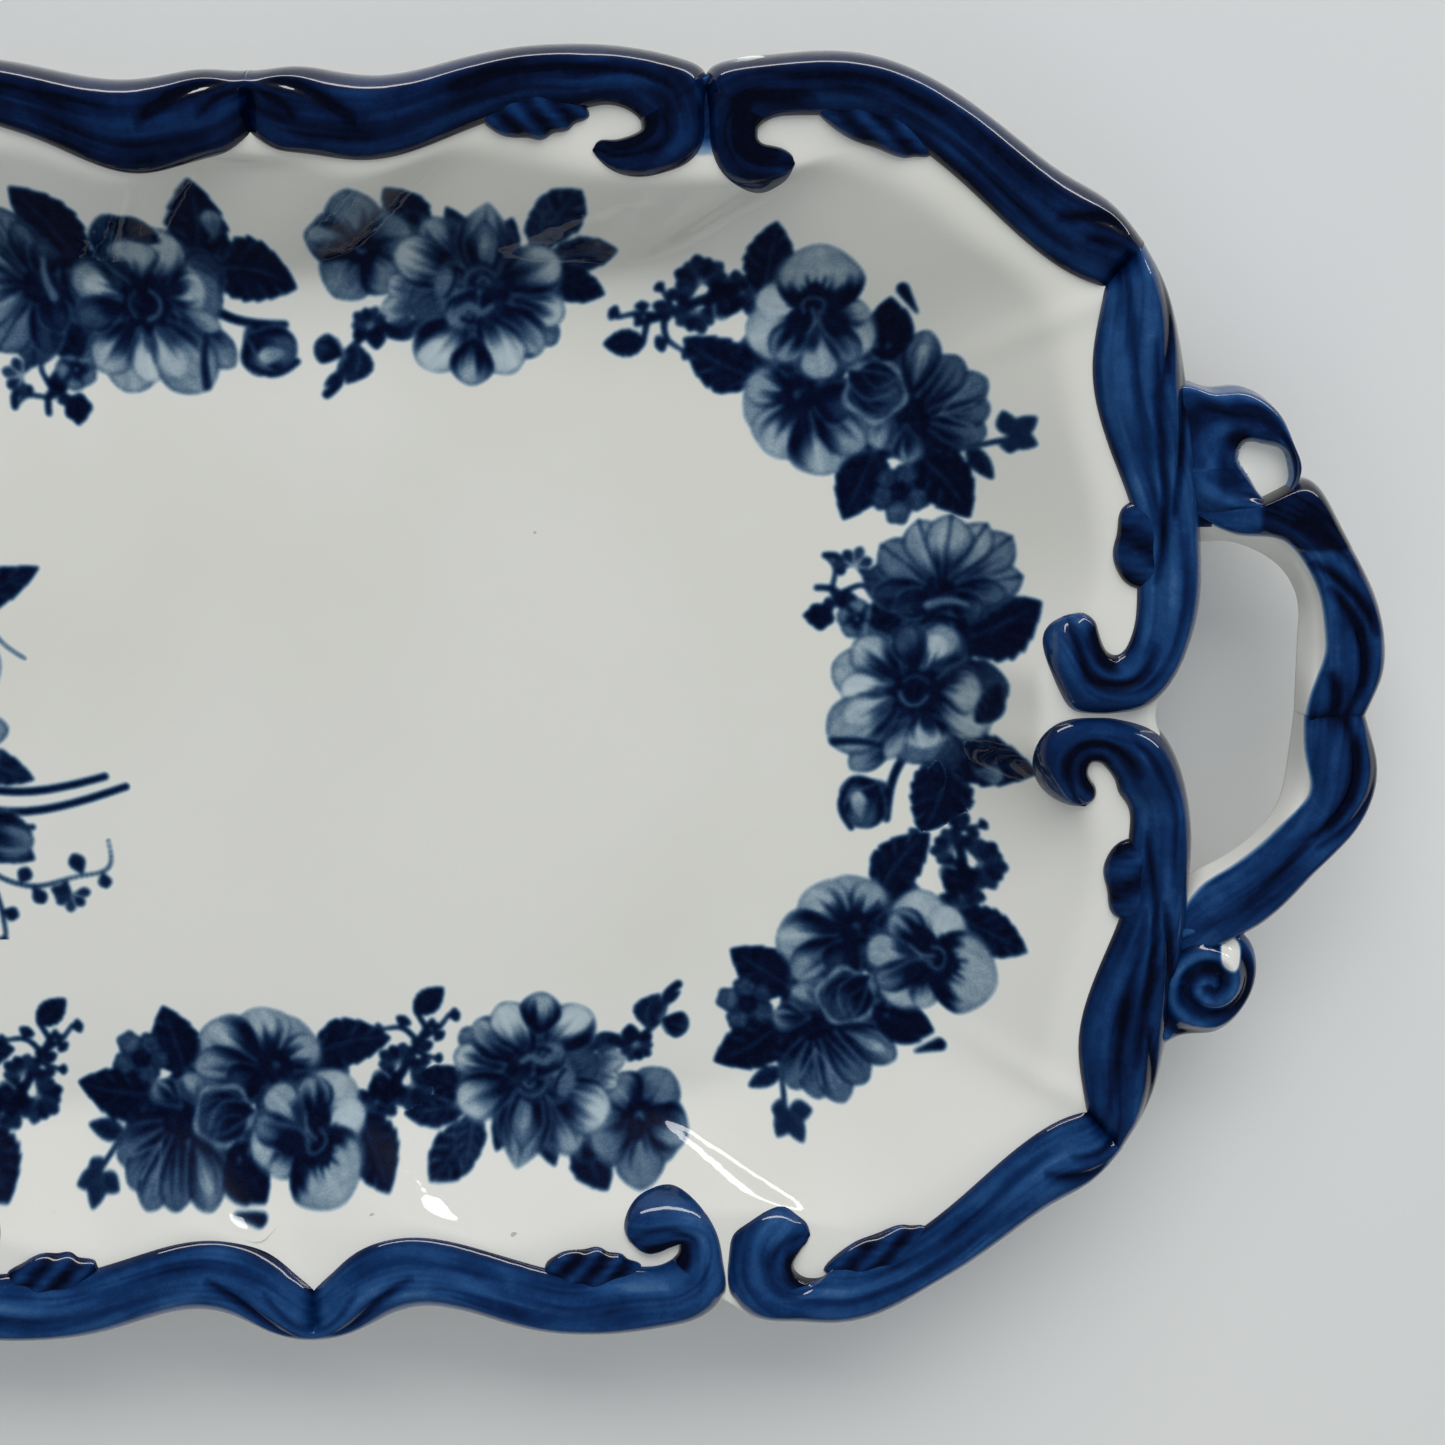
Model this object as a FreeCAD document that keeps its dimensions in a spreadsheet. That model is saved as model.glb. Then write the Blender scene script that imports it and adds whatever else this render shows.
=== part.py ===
"""China serving platter: a long scalloped tray with a flat well, a moulded scroll border and two
pierced handles. It lies on its foot ring: origin at the middle of the foot's plane, +X along the
platter, +Y across it, +Z up. Millimetres."""

import FreeCAD, Part
import os

from FreeCAD import Rotation, Vector

doc = FreeCAD.newDocument("serving_platter")

# ---------------------------------------------------------------- driving dimensions

SIZES = {
    "foot_height": 2.0,  # foot ring below the underside of the well
    "foot_width": 5.0,  # width of the ring that the platter stands on
    "floor_top": 6.5,  # upper face of the well
    "sweep_rise": 4.0,  # height of the soft bend between well and slope
    "rim_under": 15.0,  # underside of the flat rim, and the lowest point of the border
    "rim_top": 21.5,  # upper face of the flat rim, which carries the border
    "rim_inset": 1.5,  # how far the border wraps over the outer edge of the rim
    "relief_height": 3.5,  # moulded border above the rim
    "tuft_height": 2.4,  # leaf tufts above the rim
    "handle_under": 16.0,  # underside of the handles
    "handle_top": 24.0,  # top of the handle bows
    "print_thick": 0.15,  # printed transfers on the glaze
    "notch_x": 70.0,  # where two side scrolls meet
    "pair_x": 140.0,  # where a side scroll meets a corner scroll
}

sheet = doc.addObject("Spreadsheet::Sheet", "sizes")
for row, (alias, value) in enumerate(SIZES.items(), start=1):
    sheet.set(f"A{row}", alias)
    sheet.set(f"B{row}", str(value))
    sheet.setAlias(f"B{row}", alias)
doc.recompute()


def size(alias):
    """A driving dimension, read from the sheet."""
    return float(sheet.get(alias))


# ---------------------------------------------------------------- outlines, one quarter
# A scroll is a ribbon between two edges. Each entry is (x, y) of the edge towards the well and
# (x, y) of the edge away from it, in order along the ribbon.

NOTCH_X, PAIR_X = size("notch_x"), size("pair_x")

SIDE_SCROLL = [
    ((NOTCH_X + 0.2, 96.2), (NOTCH_X + 0.2, 105.4)),
    ((74, 92.6), (76, 104.4)),
    ((80, 89.8), (83, 102.2)),
    ((87, 88.7), (89.5, 101.2)),
    ((94, 89.6), (96, 101.9)),
    ((101, 91.8), (103, 103.5)),
    ((107, 93.8), (110, 104.8)),
    ((113, 95.1), (117, 105.3)),
    ((119, 95.9), (124, 105.2)),
    ((124.5, 96), (131, 104.3)),
    ((129, 95), (PAIR_X - 3.7, 102.3)),
    ((131.6, 93.2), (PAIR_X - 0.3, 98.5)),
    ((131.9, 91.8), (PAIR_X - 0.4, 91.5)),
    ((130.6, 90.8), (137.5, 86)),
    ((128, 90.6), (133, 82.9)),
    ((125.6, 91), (128, 82.9)),
    ((123.8, 91), (124.3, 85)),
    ((122.6, 90), (122.4, 88)),
]
CORNER_SCROLL = [
    ((153, 88.3), (153.2, 86.8)),
    ((152, 89.4), (151.6, 84.2)),
    ((150.6, 90.2), (148.6, 82.9)),
    ((149.4, 91.2), (145, 83.3)),
    ((149.1, 92.4), (142, 86)),
    ((149.8, 93.8), (PAIR_X + 0.4, 91.5)),
    ((151.8, 94.8), (PAIR_X + 0.3, 98.5)),
    ((154.8, 95.1), (144.5, 102.2)),
    ((158.5, 94.8), (150.5, 103.8)),
    ((163, 93.6), (158, 104.2)),
    ((168, 91.6), (166, 103.1)),
    ((173.5, 88.2), (174, 99.9)),
    ((180, 82.8), (181.5, 95.3)),
    ((186.5, 76.8), (188.5, 90)),
    ((192.5, 72), (195.5, 85)),
    ((197, 69.4), (202, 81)),
    ((201, 68.2), (207, 75.2)),
]
END_SCROLL = [
    ((201.2, 67.8), (207.3, 74.8)),
    ((199.9, 62.5), (211, 68)),
    ((199.3, 56), (213.4, 60)),
    ((200.3, 49), (214.6, 52.5)),
    ((203, 41), (215.6, 45)),
    ((205.6, 34), (216.6, 36.5)),
    ((206.8, 27.5), (217.4, 28)),
    ((206.9, 21), (217.6, 20)),
    ((206.8, 15.5), (216.6, 13)),
    ((206, 12), (214.8, 7.5)),
    ((204.2, 10.2), (212, 3)),
    ((202.4, 10.4), (207.5, 0.4)),
    ((201.3, 11.6), (202, 0.3)),
    ((200.9, 13.2), (197, 1.6)),
    ((200.2, 15), (193.6, 5)),
    ((198.8, 16), (192.1, 9.5)),
    ((196.8, 16.2), (193.2, 13.6)),
]
# Leaf tufts that stand against the well side of the scrolls.
SIDE_TUFT = [(105, 92.6), (108, 91.9), (112, 91.2), (116, 92.4), (120, 95.4), (114, 96.6), (107, 95.3)]
CORNER_TUFT = [(157.5, 95.6), (160, 92.4), (164, 90), (168.5, 88.8), (172.5, 88), (170, 92.2), (164, 94.8)]
END_TUFT = [(207.8, 34.5), (204.6, 32.6), (203.6, 28.6), (203.5, 25), (204.4, 21.6), (207.6, 20), (208.2, 27)]

# Closed outlines of the dish, one quarter from the middle of the long side to the middle of the end.
WELL = [(0, 71), (60, 71), (115, 71), (146, 68), (163, 58), (173, 43), (177, 24), (178, 0)]
SWEEP = [(0, 76), (60, 76), (118, 76), (151, 72.5), (170, 62), (180.5, 46), (184.5, 26), (185.5, 0)]
OPENING = [(0, 86.5), (60, 86.5), (122, 86.5), (158, 83.5), (184, 71), (194.5, 55), (197.5, 30), (198, 0)]
UNDERSIDE = [(0, 88), (60, 88), (123, 88), (160, 85), (187, 73), (197.5, 56), (200.5, 30), (201, 0)]
FOOT = [(0, 70), (60, 70), (114, 70), (145, 67), (161.5, 57), (171, 42.5), (174.5, 24), (175, 0)]

# Handle outlines, on the right-hand end. The bow is in two halves that meet at its crease.
UPPER_BOW = [
    ((220, 27.6), (222, 35)),
    ((224.5, 26.8), (231, 40.5)),
    ((229, 23.8), (235, 36.6)),
    ((231.6, 20.6), (238.8, 31.2)),
    ((232.4, 16), (241.8, 25.4)),
    ((231.9, 11), (245.4, 18.8)),
    ((231.5, 7), (247.3, 10.8)),
    ((231.3, 3.4), (247.2, 5)),
    ((231.2, 0), (246, 1.6)),
    ((231.1, -0.9), (244.9, -0.9)),
]
LOWER_BOW = [
    ((231.1, -1), (244.9, -1)),
    ((231, -5), (245.8, -4.5)),
    ((230.8, -10), (247, -9.5)),
    ((230.4, -15), (246, -15.5)),
    ((228.4, -19), (242.6, -21.4)),
    ((224.8, -22.3), (238, -26.2)),
    ((221, -24.9), (233.8, -31.8)),
    ((217.8, -26.2), (229.5, -35.9)),
    ((214, -30), (224, -38.4)),
]
UPPER_VOLUTE = [
    (212, 30), (217, 29), (222, 30.4), (225.6, 34), (229.6, 39.6), (231.2, 42.6), (229.3, 47.3),
    (226, 51), (221.5, 52.5), (216.5, 52.5), (212, 54), (209, 42),
]
LOWER_VOLUTE = [
    (211, -33), (216.5, -33.6), (222, -36.4), (227, -40), (228.3, -44.8), (226, -50.6),
    (221.3, -53.8), (215.5, -54.6), (211, -53.6), (208, -44),
]

# Printed transfers. Each kind is the area that its blooms and leaves cover, as discs (x, y, radius)
# about the middle of the print.
PRINT_KINDS = {
    "peony": [(0, 0, 13.5), (-17.5, 7, 7.5), (16, 7, 7), (-16, -5, 4.5), (-22, -11, 4.5)],
    "pansy": [
        (-27, 8, 5), (-17, 12, 6.5), (-15, 2, 6), (-8, 18, 5.5), (-0.5, 11, 8.5), (-2, -5, 9.5),
        (11, 8, 5.5), (18, -4, 9.5), (7, -16.5, 6), (20, -15.5, 5.5), (12.5, -19.5, 3.5), (30, -9, 4),
    ],
    "rose": [
        (4, 15.5, 11), (-9, 12, 5.5), (-12, 17, 4), (15, 8, 5.5), (-1, -3.5, 13), (12, -14, 6.5),
        (3, -20, 6), (-8, -21.5, 5.5),
    ],
    "bouquet": [
        (-4, 4, 19), (-24, -6, 12), (-17, 19, 9), (14, 14, 11), (27, 20, 7), (10, -14, 11), (24, -14, 8),
        (33, -12.5, 7), (24, -26, 8), (33, -28, 5), (-8, -21, 8),
    ],
}
# Name of each transfer: kind, middle x, middle y, turn in degrees.
PRINTS = {
    "print_bouquet_centre": ("bouquet", 0, 0, 0),
    "print_pansy_top_centre": ("pansy", -15, 68, 40),
    "print_rose_top_right": ("rose", 45, 66.3, 93),
    "print_peony_top_right": ("peony", 102, 68, 0),
    "print_pansy_corner_top_right": ("pansy", 157, 54, 0),
    "print_rose_end_right": ("rose", 173, 5, 0),
    "print_pansy_corner_bottom_right": ("pansy", 166, -43.6, -100),
    "print_peony_bottom_right": ("peony", 108, -66, 180),
    "print_pansy_bottom_right": ("pansy", 62.5, -68, -140),
    "print_pansy_bottom_centre": ("pansy", -2.5, -69, -140),
    "print_rose_bottom_left": ("rose", -68, -66.3, -87),
    "print_pansy_corner_bottom_left": ("pansy", -150, -56, 180),
    "print_rose_end_left": ("rose", -173, -5, 180),
    "print_pansy_corner_top_left": ("pansy", -167, 43, 80),
    "print_rose_top_left": ("rose", -117, 66.3, 93),
    "print_peony_top_left": ("peony", -67, 68, 0),
}

# ---------------------------------------------------------------- helpers


def spline(points, closed=False):
    """A smooth curve through points in the XY plane."""
    curve = Part.BSplineCurve()
    curve.interpolate(Points=[Vector(x, y, 0) for x, y in points], PeriodicFlag=closed)
    return curve


def segment(start, end):
    return Part.LineSegment(Vector(*start, 0), Vector(*end, 0))


def all_round(quarter):
    """Mirrors one quarter of an outline to the whole, starting at the middle of the right-hand end."""
    right_top = quarter[::-1]
    left_top = [(-x, y) for x, y in quarter[1:]]
    left_bottom = [(-x, -y) for x, y in quarter[-2::-1]]
    right_bottom = [(x, -y) for x, y in quarter[1:-1]]
    return right_top + left_top + left_bottom + right_bottom


def sketch(name, curves, height, host=None):
    """A sketch of those curves at a height given as an expression on the sheet."""
    made = host.newObject("Sketcher::SketchObject", name) if host else doc.addObject("Sketcher::SketchObject", name)
    if host:
        plane = next(o for o in host.Origin.OriginFeatures if o.Role == "XY_Plane")
        made.AttachmentSupport = (plane, [""])
        made.MapMode = "FlatFace"
        made.setExpression("AttachmentOffset.Base.z", height)
    else:
        made.setExpression("Placement.Base.z", height)
    made.addGeometry(curves, False)
    return made


def pad_body(name, curves, bottom, height):
    """A PartDesign body padded from a sketch at bottom, both given as expressions on the sheet."""
    body = doc.addObject("PartDesign::Body", name)
    profile = sketch(name + "_outline", curves, bottom, body)
    pad = body.newObject("PartDesign::Pad", name + "_pad")
    pad.Profile = profile
    pad.setExpression("Length", height)
    body.Tip = pad
    return body


def ribbon(ribs):
    """The closed outline of a ribbon: one edge out, a straight end, the other edge back, and the start."""
    well_side = [rib[0] for rib in ribs]
    far_side = [rib[1] for rib in ribs]
    return [
        spline(well_side),
        segment(well_side[-1], far_side[-1]),
        spline(far_side[::-1]),
        segment(far_side[0], well_side[0]),
    ]


def inset(points, distance):
    """A closed ring of points moved inwards by a distance. The ring runs counter-clockwise."""
    moved = []
    for index, (x, y) in enumerate(points):
        before, after = points[index - 1], points[(index + 1) % len(points)]
        along = Vector(after[0] - before[0], after[1] - before[1], 0).normalize()
        moved.append((x - along.y * distance, y + along.x * distance))
    return moved


def loft(name, sections):
    made = doc.addObject("Part::Loft", name)
    made.Sections = sections
    made.Solid = True
    made.Ruled = True
    return made


def cut(name, base, *tools):
    """base without the tools. The result is a sub-part when it is given a label later."""
    for number, tool in enumerate(tools):
        made = doc.addObject("Part::Cut", name if number == len(tools) - 1 else f"{name}_step{number}")
        made.Base = base
        made.Tool = tool
        base = made
    return base


def mirrored(name, source, normal):
    made = doc.addObject("Part::Mirroring", name)
    made.Source = source
    made.Base = Vector(0, 0, 0)
    made.Normal = Vector(*normal)
    return made


ACROSS_X, ACROSS_Y = (1, 0, 0), (0, 1, 0)
nodes = {}


def keep(name, made):
    """Marks a finished object as the sub-part of that name."""
    made.Label = name
    nodes[name] = made
    return made


def four_ways(stem, source):
    """The piece in the top right quarter and its three mirror images."""
    top_right = keep(f"{stem}_top_right", source)
    bottom_right = keep(f"{stem}_bottom_right", mirrored(f"{stem}_bottom_right", top_right, ACROSS_Y))
    keep(f"{stem}_top_left", mirrored(f"{stem}_top_left", top_right, ACROSS_X))
    keep(f"{stem}_bottom_left", mirrored(f"{stem}_bottom_left", bottom_right, ACROSS_X))


# ---------------------------------------------------------------- the cast dish


def outer_quarter():
    """The scalloped edge of the rim, which the far sides of the scrolls follow."""
    side = [rib[1] for rib in SIDE_SCROLL[1:11]]
    centre = [(2 * NOTCH_X - x, y) for x, y in side[::-1]]
    corner = [rib[1] for rib in CORNER_SCROLL[7:16]]
    end = [rib[1] for rib in END_SCROLL[:10]]
    dip = (0, 101.3)
    bump = (NOTCH_X, 105.5)
    pair_dip = (PAIR_X, 101.3)
    return [dip, *centre, bump, *side, pair_dip, *corner, *end, (212.8, 3.4), (212.2, 0)]


def make_dish():
    edge = spline(inset(all_round(outer_quarter()), size("rim_inset")), True)
    rim = pad_body("rim_plate", [edge], "sizes.rim_under", "sizes.rim_top - sizes.rim_under")
    foot_edge = sketch("under_foot", [spline(all_round(FOOT), True)], "sizes.foot_height")
    rim_edge = sketch("under_rim", [spline(all_round(UNDERSIDE), True)], "sizes.rim_under")
    bowl = loft("under_bowl", [foot_edge, rim_edge])
    whole = doc.addObject("Part::Fuse", "dish_outside")
    whole.Base = rim
    whole.Tool = bowl
    levels = [
        ("well_edge", WELL, "sizes.floor_top"),
        ("sweep_edge", SWEEP, "sizes.floor_top + sizes.sweep_rise"),
        ("opening_edge", OPENING, "sizes.rim_top"),
    ]
    sections = [sketch(name, [spline(all_round(outline), True)], z) for name, outline, z in levels]
    cavity = loft("dish_cavity", sections)
    return keep("platter_body", cut("platter_body", whole, cavity)), cavity


def make_foot():
    outside = pad_body("foot_block", [spline(all_round(FOOT), True)], "0 * sizes.foot_height", "sizes.foot_height")
    width = size("foot_width")
    inner = [(max(x - width, 0) if x > 100 else x, max(y - width, 0) if y > 30 else y) for x, y in FOOT]
    hollow = pad_body("foot_hollow", [spline(all_round(inner), True)], "0 * sizes.foot_height", "sizes.foot_height")
    return keep("foot_ring", cut("foot_ring", outside, hollow))


# ---------------------------------------------------------------- the moulded border


def relief(name, curves, top, dish):
    """A moulded piece that stands on the rim, wraps over its edge and reaches down the slope."""
    height = f"sizes.rim_top - sizes.rim_under + {top}"
    block = pad_body(name + "_block", curves, "sizes.rim_under", height)
    return cut(name, block, dish)


def make_border(dish):
    centre_scroll = [tuple((2 * NOTCH_X - x, y) for x, y in rib) for rib in SIDE_SCROLL]
    scrolls = {
        "border_centre_scroll": centre_scroll,
        "border_side_scroll": SIDE_SCROLL,
        "border_corner_scroll": CORNER_SCROLL,
        "border_end_scroll": END_SCROLL,
    }
    made = {}
    for stem, ribs in scrolls.items():
        made[stem] = relief(stem, ribbon(ribs), "sizes.relief_height", dish)
        four_ways(stem, made[stem])
    tufts = {
        "leaf_tuft_centre": ([(2 * NOTCH_X - x, y) for x, y in SIDE_TUFT], "border_centre_scroll"),
        "leaf_tuft_side": (SIDE_TUFT, "border_side_scroll"),
        "leaf_tuft_corner": (CORNER_TUFT, "border_corner_scroll"),
        "leaf_tuft_end": (END_TUFT, "border_end_scroll"),
    }
    for stem, (outline, scroll) in tufts.items():
        block = relief(stem + "_stood", [spline(outline, True)], "sizes.tuft_height", dish)
        right = cut(stem, block, made[scroll])
        top = doc.addObject("Part::Compound", stem + "_top")
        top.Links = [right, mirrored(stem + "_left", right, ACROSS_X)]
        all_four = doc.addObject("Part::Compound", stem + "_all")
        all_four.Links = [top, mirrored(stem + "_bottom", top, ACROSS_Y)]
        keep(stem + "s", all_four)
    return made["border_end_scroll"]


# ---------------------------------------------------------------- the handles


def make_handles(dish):
    """Both handles: the right-hand one, and its mirror image on the left."""
    lift = "sizes.handle_top - sizes.handle_under"
    upper_end, lower_end = nodes["border_end_scroll_top_right"], nodes["border_end_scroll_bottom_right"]
    volute = {
        "upper_volute": (UPPER_VOLUTE, upper_end),
        "lower_volute": (LOWER_VOLUTE, lower_end),
    }
    bow = {"upper_bow": UPPER_BOW, "lower_bow": LOWER_BOW}
    made = {}
    for name, (outline, scroll) in volute.items():
        block = pad_body(name + "_block", [spline(outline, True)], "sizes.handle_under", lift)
        made[name] = cut(name, block, dish, scroll)
    for name, ribs in bow.items():
        block = pad_body(name + "_block", ribbon(ribs), "sizes.handle_under", lift)
        root = made[name.replace("bow", "volute")]
        scroll = volute[name.replace("bow", "volute")][1]
        made[name] = cut(name, block, dish, scroll, root)
    for name, piece in made.items():
        right = keep(f"handle_right_{name}", piece)
        keep(f"handle_left_{name}", mirrored(f"handle_left_{name}", right, ACROSS_X))


# ---------------------------------------------------------------- the printed transfers


def make_prints(cavity):
    """Each transfer is a thin skin on the well and its slope: what lies between the dish's inner
    surface and the same surface raised by the print's thickness."""
    raised = Part.Shape(cavity.Shape)
    raised.translate(Vector(0, 0, size("print_thick")))
    bottom, depth = size("foot_height"), size("rim_top") - size("foot_height")
    for name, (kind, x, y, turn) in PRINTS.items():
        discs = [Part.makeCylinder(r, depth, Vector(cx, cy, 0)) for cx, cy, r in PRINT_KINDS[kind]]
        block = discs[0].multiFuse(discs[1:])
        block.Placement = FreeCAD.Placement(Vector(x, y, bottom), Rotation(Vector(0, 0, 1), turn))
        skin = block.common(cavity.Shape).cut(raised)
        made = doc.addObject("Part::Feature", name)
        made.Shape = Part.makeCompound(skin.Solids)
        keep(name, made)


# ---------------------------------------------------------------- build, check and write


def check():
    """Stops the build if an object failed or a sub-part isn't a good solid."""
    for made in doc.Objects:
        if {"Invalid", "Error"} & set(made.State):
            raise SystemExit(f"{made.Name} failed: {made.State}")
    for name, made in nodes.items():
        shape = made.Shape
        if shape.isNull() or not shape.isValid() or not shape.Solids:
            raise SystemExit(f"{name} isn't a valid solid")
        print(f"{name:34s} solids {len(shape.Solids)} volume {shape.Volume:9.1f} mm3")


dish, cavity = make_dish()
make_foot()
make_border(dish)
make_handles(dish)
doc.recompute()
make_prints(cavity)
doc.recompute()
check()
os.makedirs("parts", exist_ok=True)
for name, made in nodes.items():
    made.Shape.exportStep(f"parts/{name}.step")
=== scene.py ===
"""Looks of the china serving platter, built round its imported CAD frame.

Lengths in this file are millimetres in the platter's frame (origin on the table under the middle
of the well, +X along it, +Y across it, +Z up); mesh data is turned into metres as it is written.
"""

import math

import bpy
import numpy as np
from mathutils import Matrix, Vector


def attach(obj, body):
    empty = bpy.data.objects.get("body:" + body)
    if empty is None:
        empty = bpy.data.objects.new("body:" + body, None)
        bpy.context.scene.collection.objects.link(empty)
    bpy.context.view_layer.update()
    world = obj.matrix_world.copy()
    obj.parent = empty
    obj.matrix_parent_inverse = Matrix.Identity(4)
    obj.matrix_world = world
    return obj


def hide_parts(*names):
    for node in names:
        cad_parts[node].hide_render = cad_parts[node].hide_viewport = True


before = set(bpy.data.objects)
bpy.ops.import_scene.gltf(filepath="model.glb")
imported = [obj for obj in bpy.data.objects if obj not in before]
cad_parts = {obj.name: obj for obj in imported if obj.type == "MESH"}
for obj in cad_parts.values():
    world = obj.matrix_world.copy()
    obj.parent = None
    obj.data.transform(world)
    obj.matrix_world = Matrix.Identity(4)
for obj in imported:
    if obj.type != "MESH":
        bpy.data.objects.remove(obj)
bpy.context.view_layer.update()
MM = 0.001
TAU = 2 * math.pi

# ---------------------------------------------------------------- shape data

# Dish outlines, one quarter from the middle of the long side to the middle of the end.
WELL = [(0, 69), (60, 69), (113, 69), (144, 66), (161, 56), (171, 41), (175, 23), (176, 0)]
OPENING = [
    (0, 87), (14, 88), (34, 93.5), (53, 88.4), (70, 95), (87, 88.3), (105, 92.3), (124, 88), (140, 86.4),
    (152, 86.8),
    (163, 88.8), (174, 84.8), (185.6, 75.6), (195.4, 66.8), (198, 56), (199.6, 47), (203.2, 34), (203.8, 21),
    (198.6, 12), (194, 6), (194, 0),
]
UNDERSIDE = [(0, 90), (60, 90), (124, 90), (161, 87), (188, 74), (198.5, 57), (201.5, 30), (202, 0)]
FOOT = [(0, 70), (60, 70), (114, 70), (145, 67), (161.5, 57), (171, 42.5), (174.5, 24), (175, 0)]
FLOOR_Z, RIM_Z, UNDER_Z, FOOT_Z = 6.5, 21.8, 15.0, 2.0

NOTCH_X, PAIR_X = 70.0, 140.0

# A scroll is a ribbon between two edges: (well side x, y), (far side x, y), in order along it.
SIDE_SCROLL = [
    ((NOTCH_X - 0.3, 95.6), (NOTCH_X - 0.3, 105)),
    ((74, 92.3), (76, 104.4)),
    ((80, 89.8), (83, 102.2)),
    ((87, 88.7), (89.5, 101.2)),
    ((94, 89.6), (96, 101.9)),
    ((101, 91.8), (103, 103.5)),
    ((107, 93.8), (110, 104.8)),
    ((113, 95.1), (117, 105.3)),
]
SIDE_HOOK = {
    1: [
        ((119, 95), (124, 105.2)), ((124.5, 96), (131, 104.3)), ((128, 95.2), (PAIR_X - 3.7, 103)),
        ((129.6, 94), (PAIR_X - 0.1, 101)), ((130, 93), (PAIR_X - 0.1, 96)), ((129.8, 92.3), (139.7, 91)),
        ((128.6, 91.7), (137.6, 87.7)), ((127.4, 91.3), (134, 86)), ((126, 91), (130, 85.2)),
        ((124.6, 91), (126.4, 85.7)), ((123.4, 90.8), (124, 87.1)), ((122.5, 90), (122.4, 88.8)),
    ],
    -1: [
        ((119, 94.6), (124, 105.2)), ((124.5, 94.6), (131, 104.3)), ((128.6, 94.5), (PAIR_X - 3.7, 103)),
        ((131, 93.3), (PAIR_X - 0.1, 100)), ((132, 91.8), (139.7, 94.5)), ((131.8, 90.6), (138.8, 89.5)),
        ((131, 91.1), (136.8, 85.4)), ((130, 91.6), (134, 82.8)), ((129, 92.1), (131, 81.5)),
        ((128, 92.4), (128, 81.8)), ((127, 92.5), (125.2, 83)), ((126, 92.2), (123.4, 85)),
        ((125.2, 91.7), (122.7, 87.2)), ((124.5, 91.1), (122.9, 88.8)), ((124.1, 90.5), (123.6, 89.9)),
    ],
}
CORNER_HOOK = {
    1: [
        ((153.3, 87.7), (153.2, 86.7)), ((152.8, 88.6), (152.3, 85)), ((151.6, 89.5), (150.6, 83.6)),
        ((150, 90), (148, 82.6)), ((148.6, 90.3), (145, 83.4)), ((147.8, 91), (142, 85.8)),
        ((147.7, 91.8), (140.3, 90.4)), ((148.1, 92.9), (PAIR_X + 0.1, 96)), ((150, 94), (PAIR_X + 0.1, 101)),
        ((152.6, 94.4), (144.5, 103)),
    ],
    -1: [
        ((154.1, 89.6), (154.2, 88.9)), ((153.7, 90.6), (153.8, 87.4)), ((153, 91.5), (152.2, 85.9)),
        ((152.3, 92.5), (150.2, 84.7)), ((151.7, 93.5), (148.4, 84.6)), ((151.4, 94.4), (146, 85.5)),
        ((151.5, 95.2), (143.6, 87.1)), ((152, 96), (141.2, 89)), ((152.8, 96.6), (140.3, 92.6)),
        ((154, 97), (PAIR_X + 0.1, 97.4)), ((155.6, 97), (141.2, 100.8)), ((157.2, 96.2), (144.5, 103)),
    ],
}
CORNER_SCROLL = [
    ((158.5, 94.3), (150.5, 103.8)),
    ((163, 93.6), (158, 104.2)),
    ((168, 91.6), (166, 103.1)),
    ((173.5, 88.2), (174, 99.9)),
    ((180, 82.8), (181.5, 95.3)),
    ((186.5, 76.8), (188.5, 90)),
    ((192.5, 72), (195.5, 85)),
    ((197, 69.4), (202, 81)),
    ((201.1, 67.9), (207.3, 74.9)),
]
END_SCROLL = [
    ((200.9, 68.4), (206.9, 75.4)),
    ((199.9, 62.5), (211, 68)),
    ((199.3, 56), (213.4, 60)),
    ((200.3, 49), (214.6, 52.5)),
    ((203, 41), (215.6, 45)),
    ((205.6, 34), (216.6, 36.5)),
    ((206.8, 27.5), (217.4, 28)),
    ((206.9, 21), (217.6, 20)),
    ((206.8, 15.5), (216.6, 13)),
]
END_HOOK = {
    1: [
        ((206.1, 12.4), (214.8, 7.5)), ((205.2, 10.6), (212, 3)), ((204.2, 9.9), (208.5, 0.5)),
        ((203.2, 10), (204, 0.1)), ((202.4, 10.6), (200, 0.2)), ((201.8, 11.6), (197.2, 0.9)),
        ((201.3, 12.9), (195.2, 3.6)), ((200.9, 14.2), (193.5, 7.2)), ((200.3, 15.4), (192.5, 10.4)),
        ((199.4, 16.1), (192.6, 12.4)), ((198.4, 16.4), (193.6, 14.1)), ((197.2, 16.2), (195.2, 15.4)),
    ],
    -1: [
        ((205.1, 12.8), (214.8, 7.5)), ((204.4, 10.8), (212, 3.2)), ((203.2, 9), (208, 1)),
        ((202, 7.9), (204, 0.3)), ((201, 7.7), (200.5, 0.2)), ((200.4, 8), (197, 0.5)),
        ((200.1, 8.8), (194.4, 1.5)), ((200.2, 9.8), (192.2, 3.8)), ((200.7, 10.7), (191.2, 7)),
        ((201.2, 11.4), (191.5, 10)), ((201.5, 12.2), (193, 12.9)), ((201.5, 13.2), (195.2, 14.6)),
        ((201, 14.1), (197.5, 15.2)), ((200.3, 14.7), (199.2, 15.1)),
    ],
}
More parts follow.
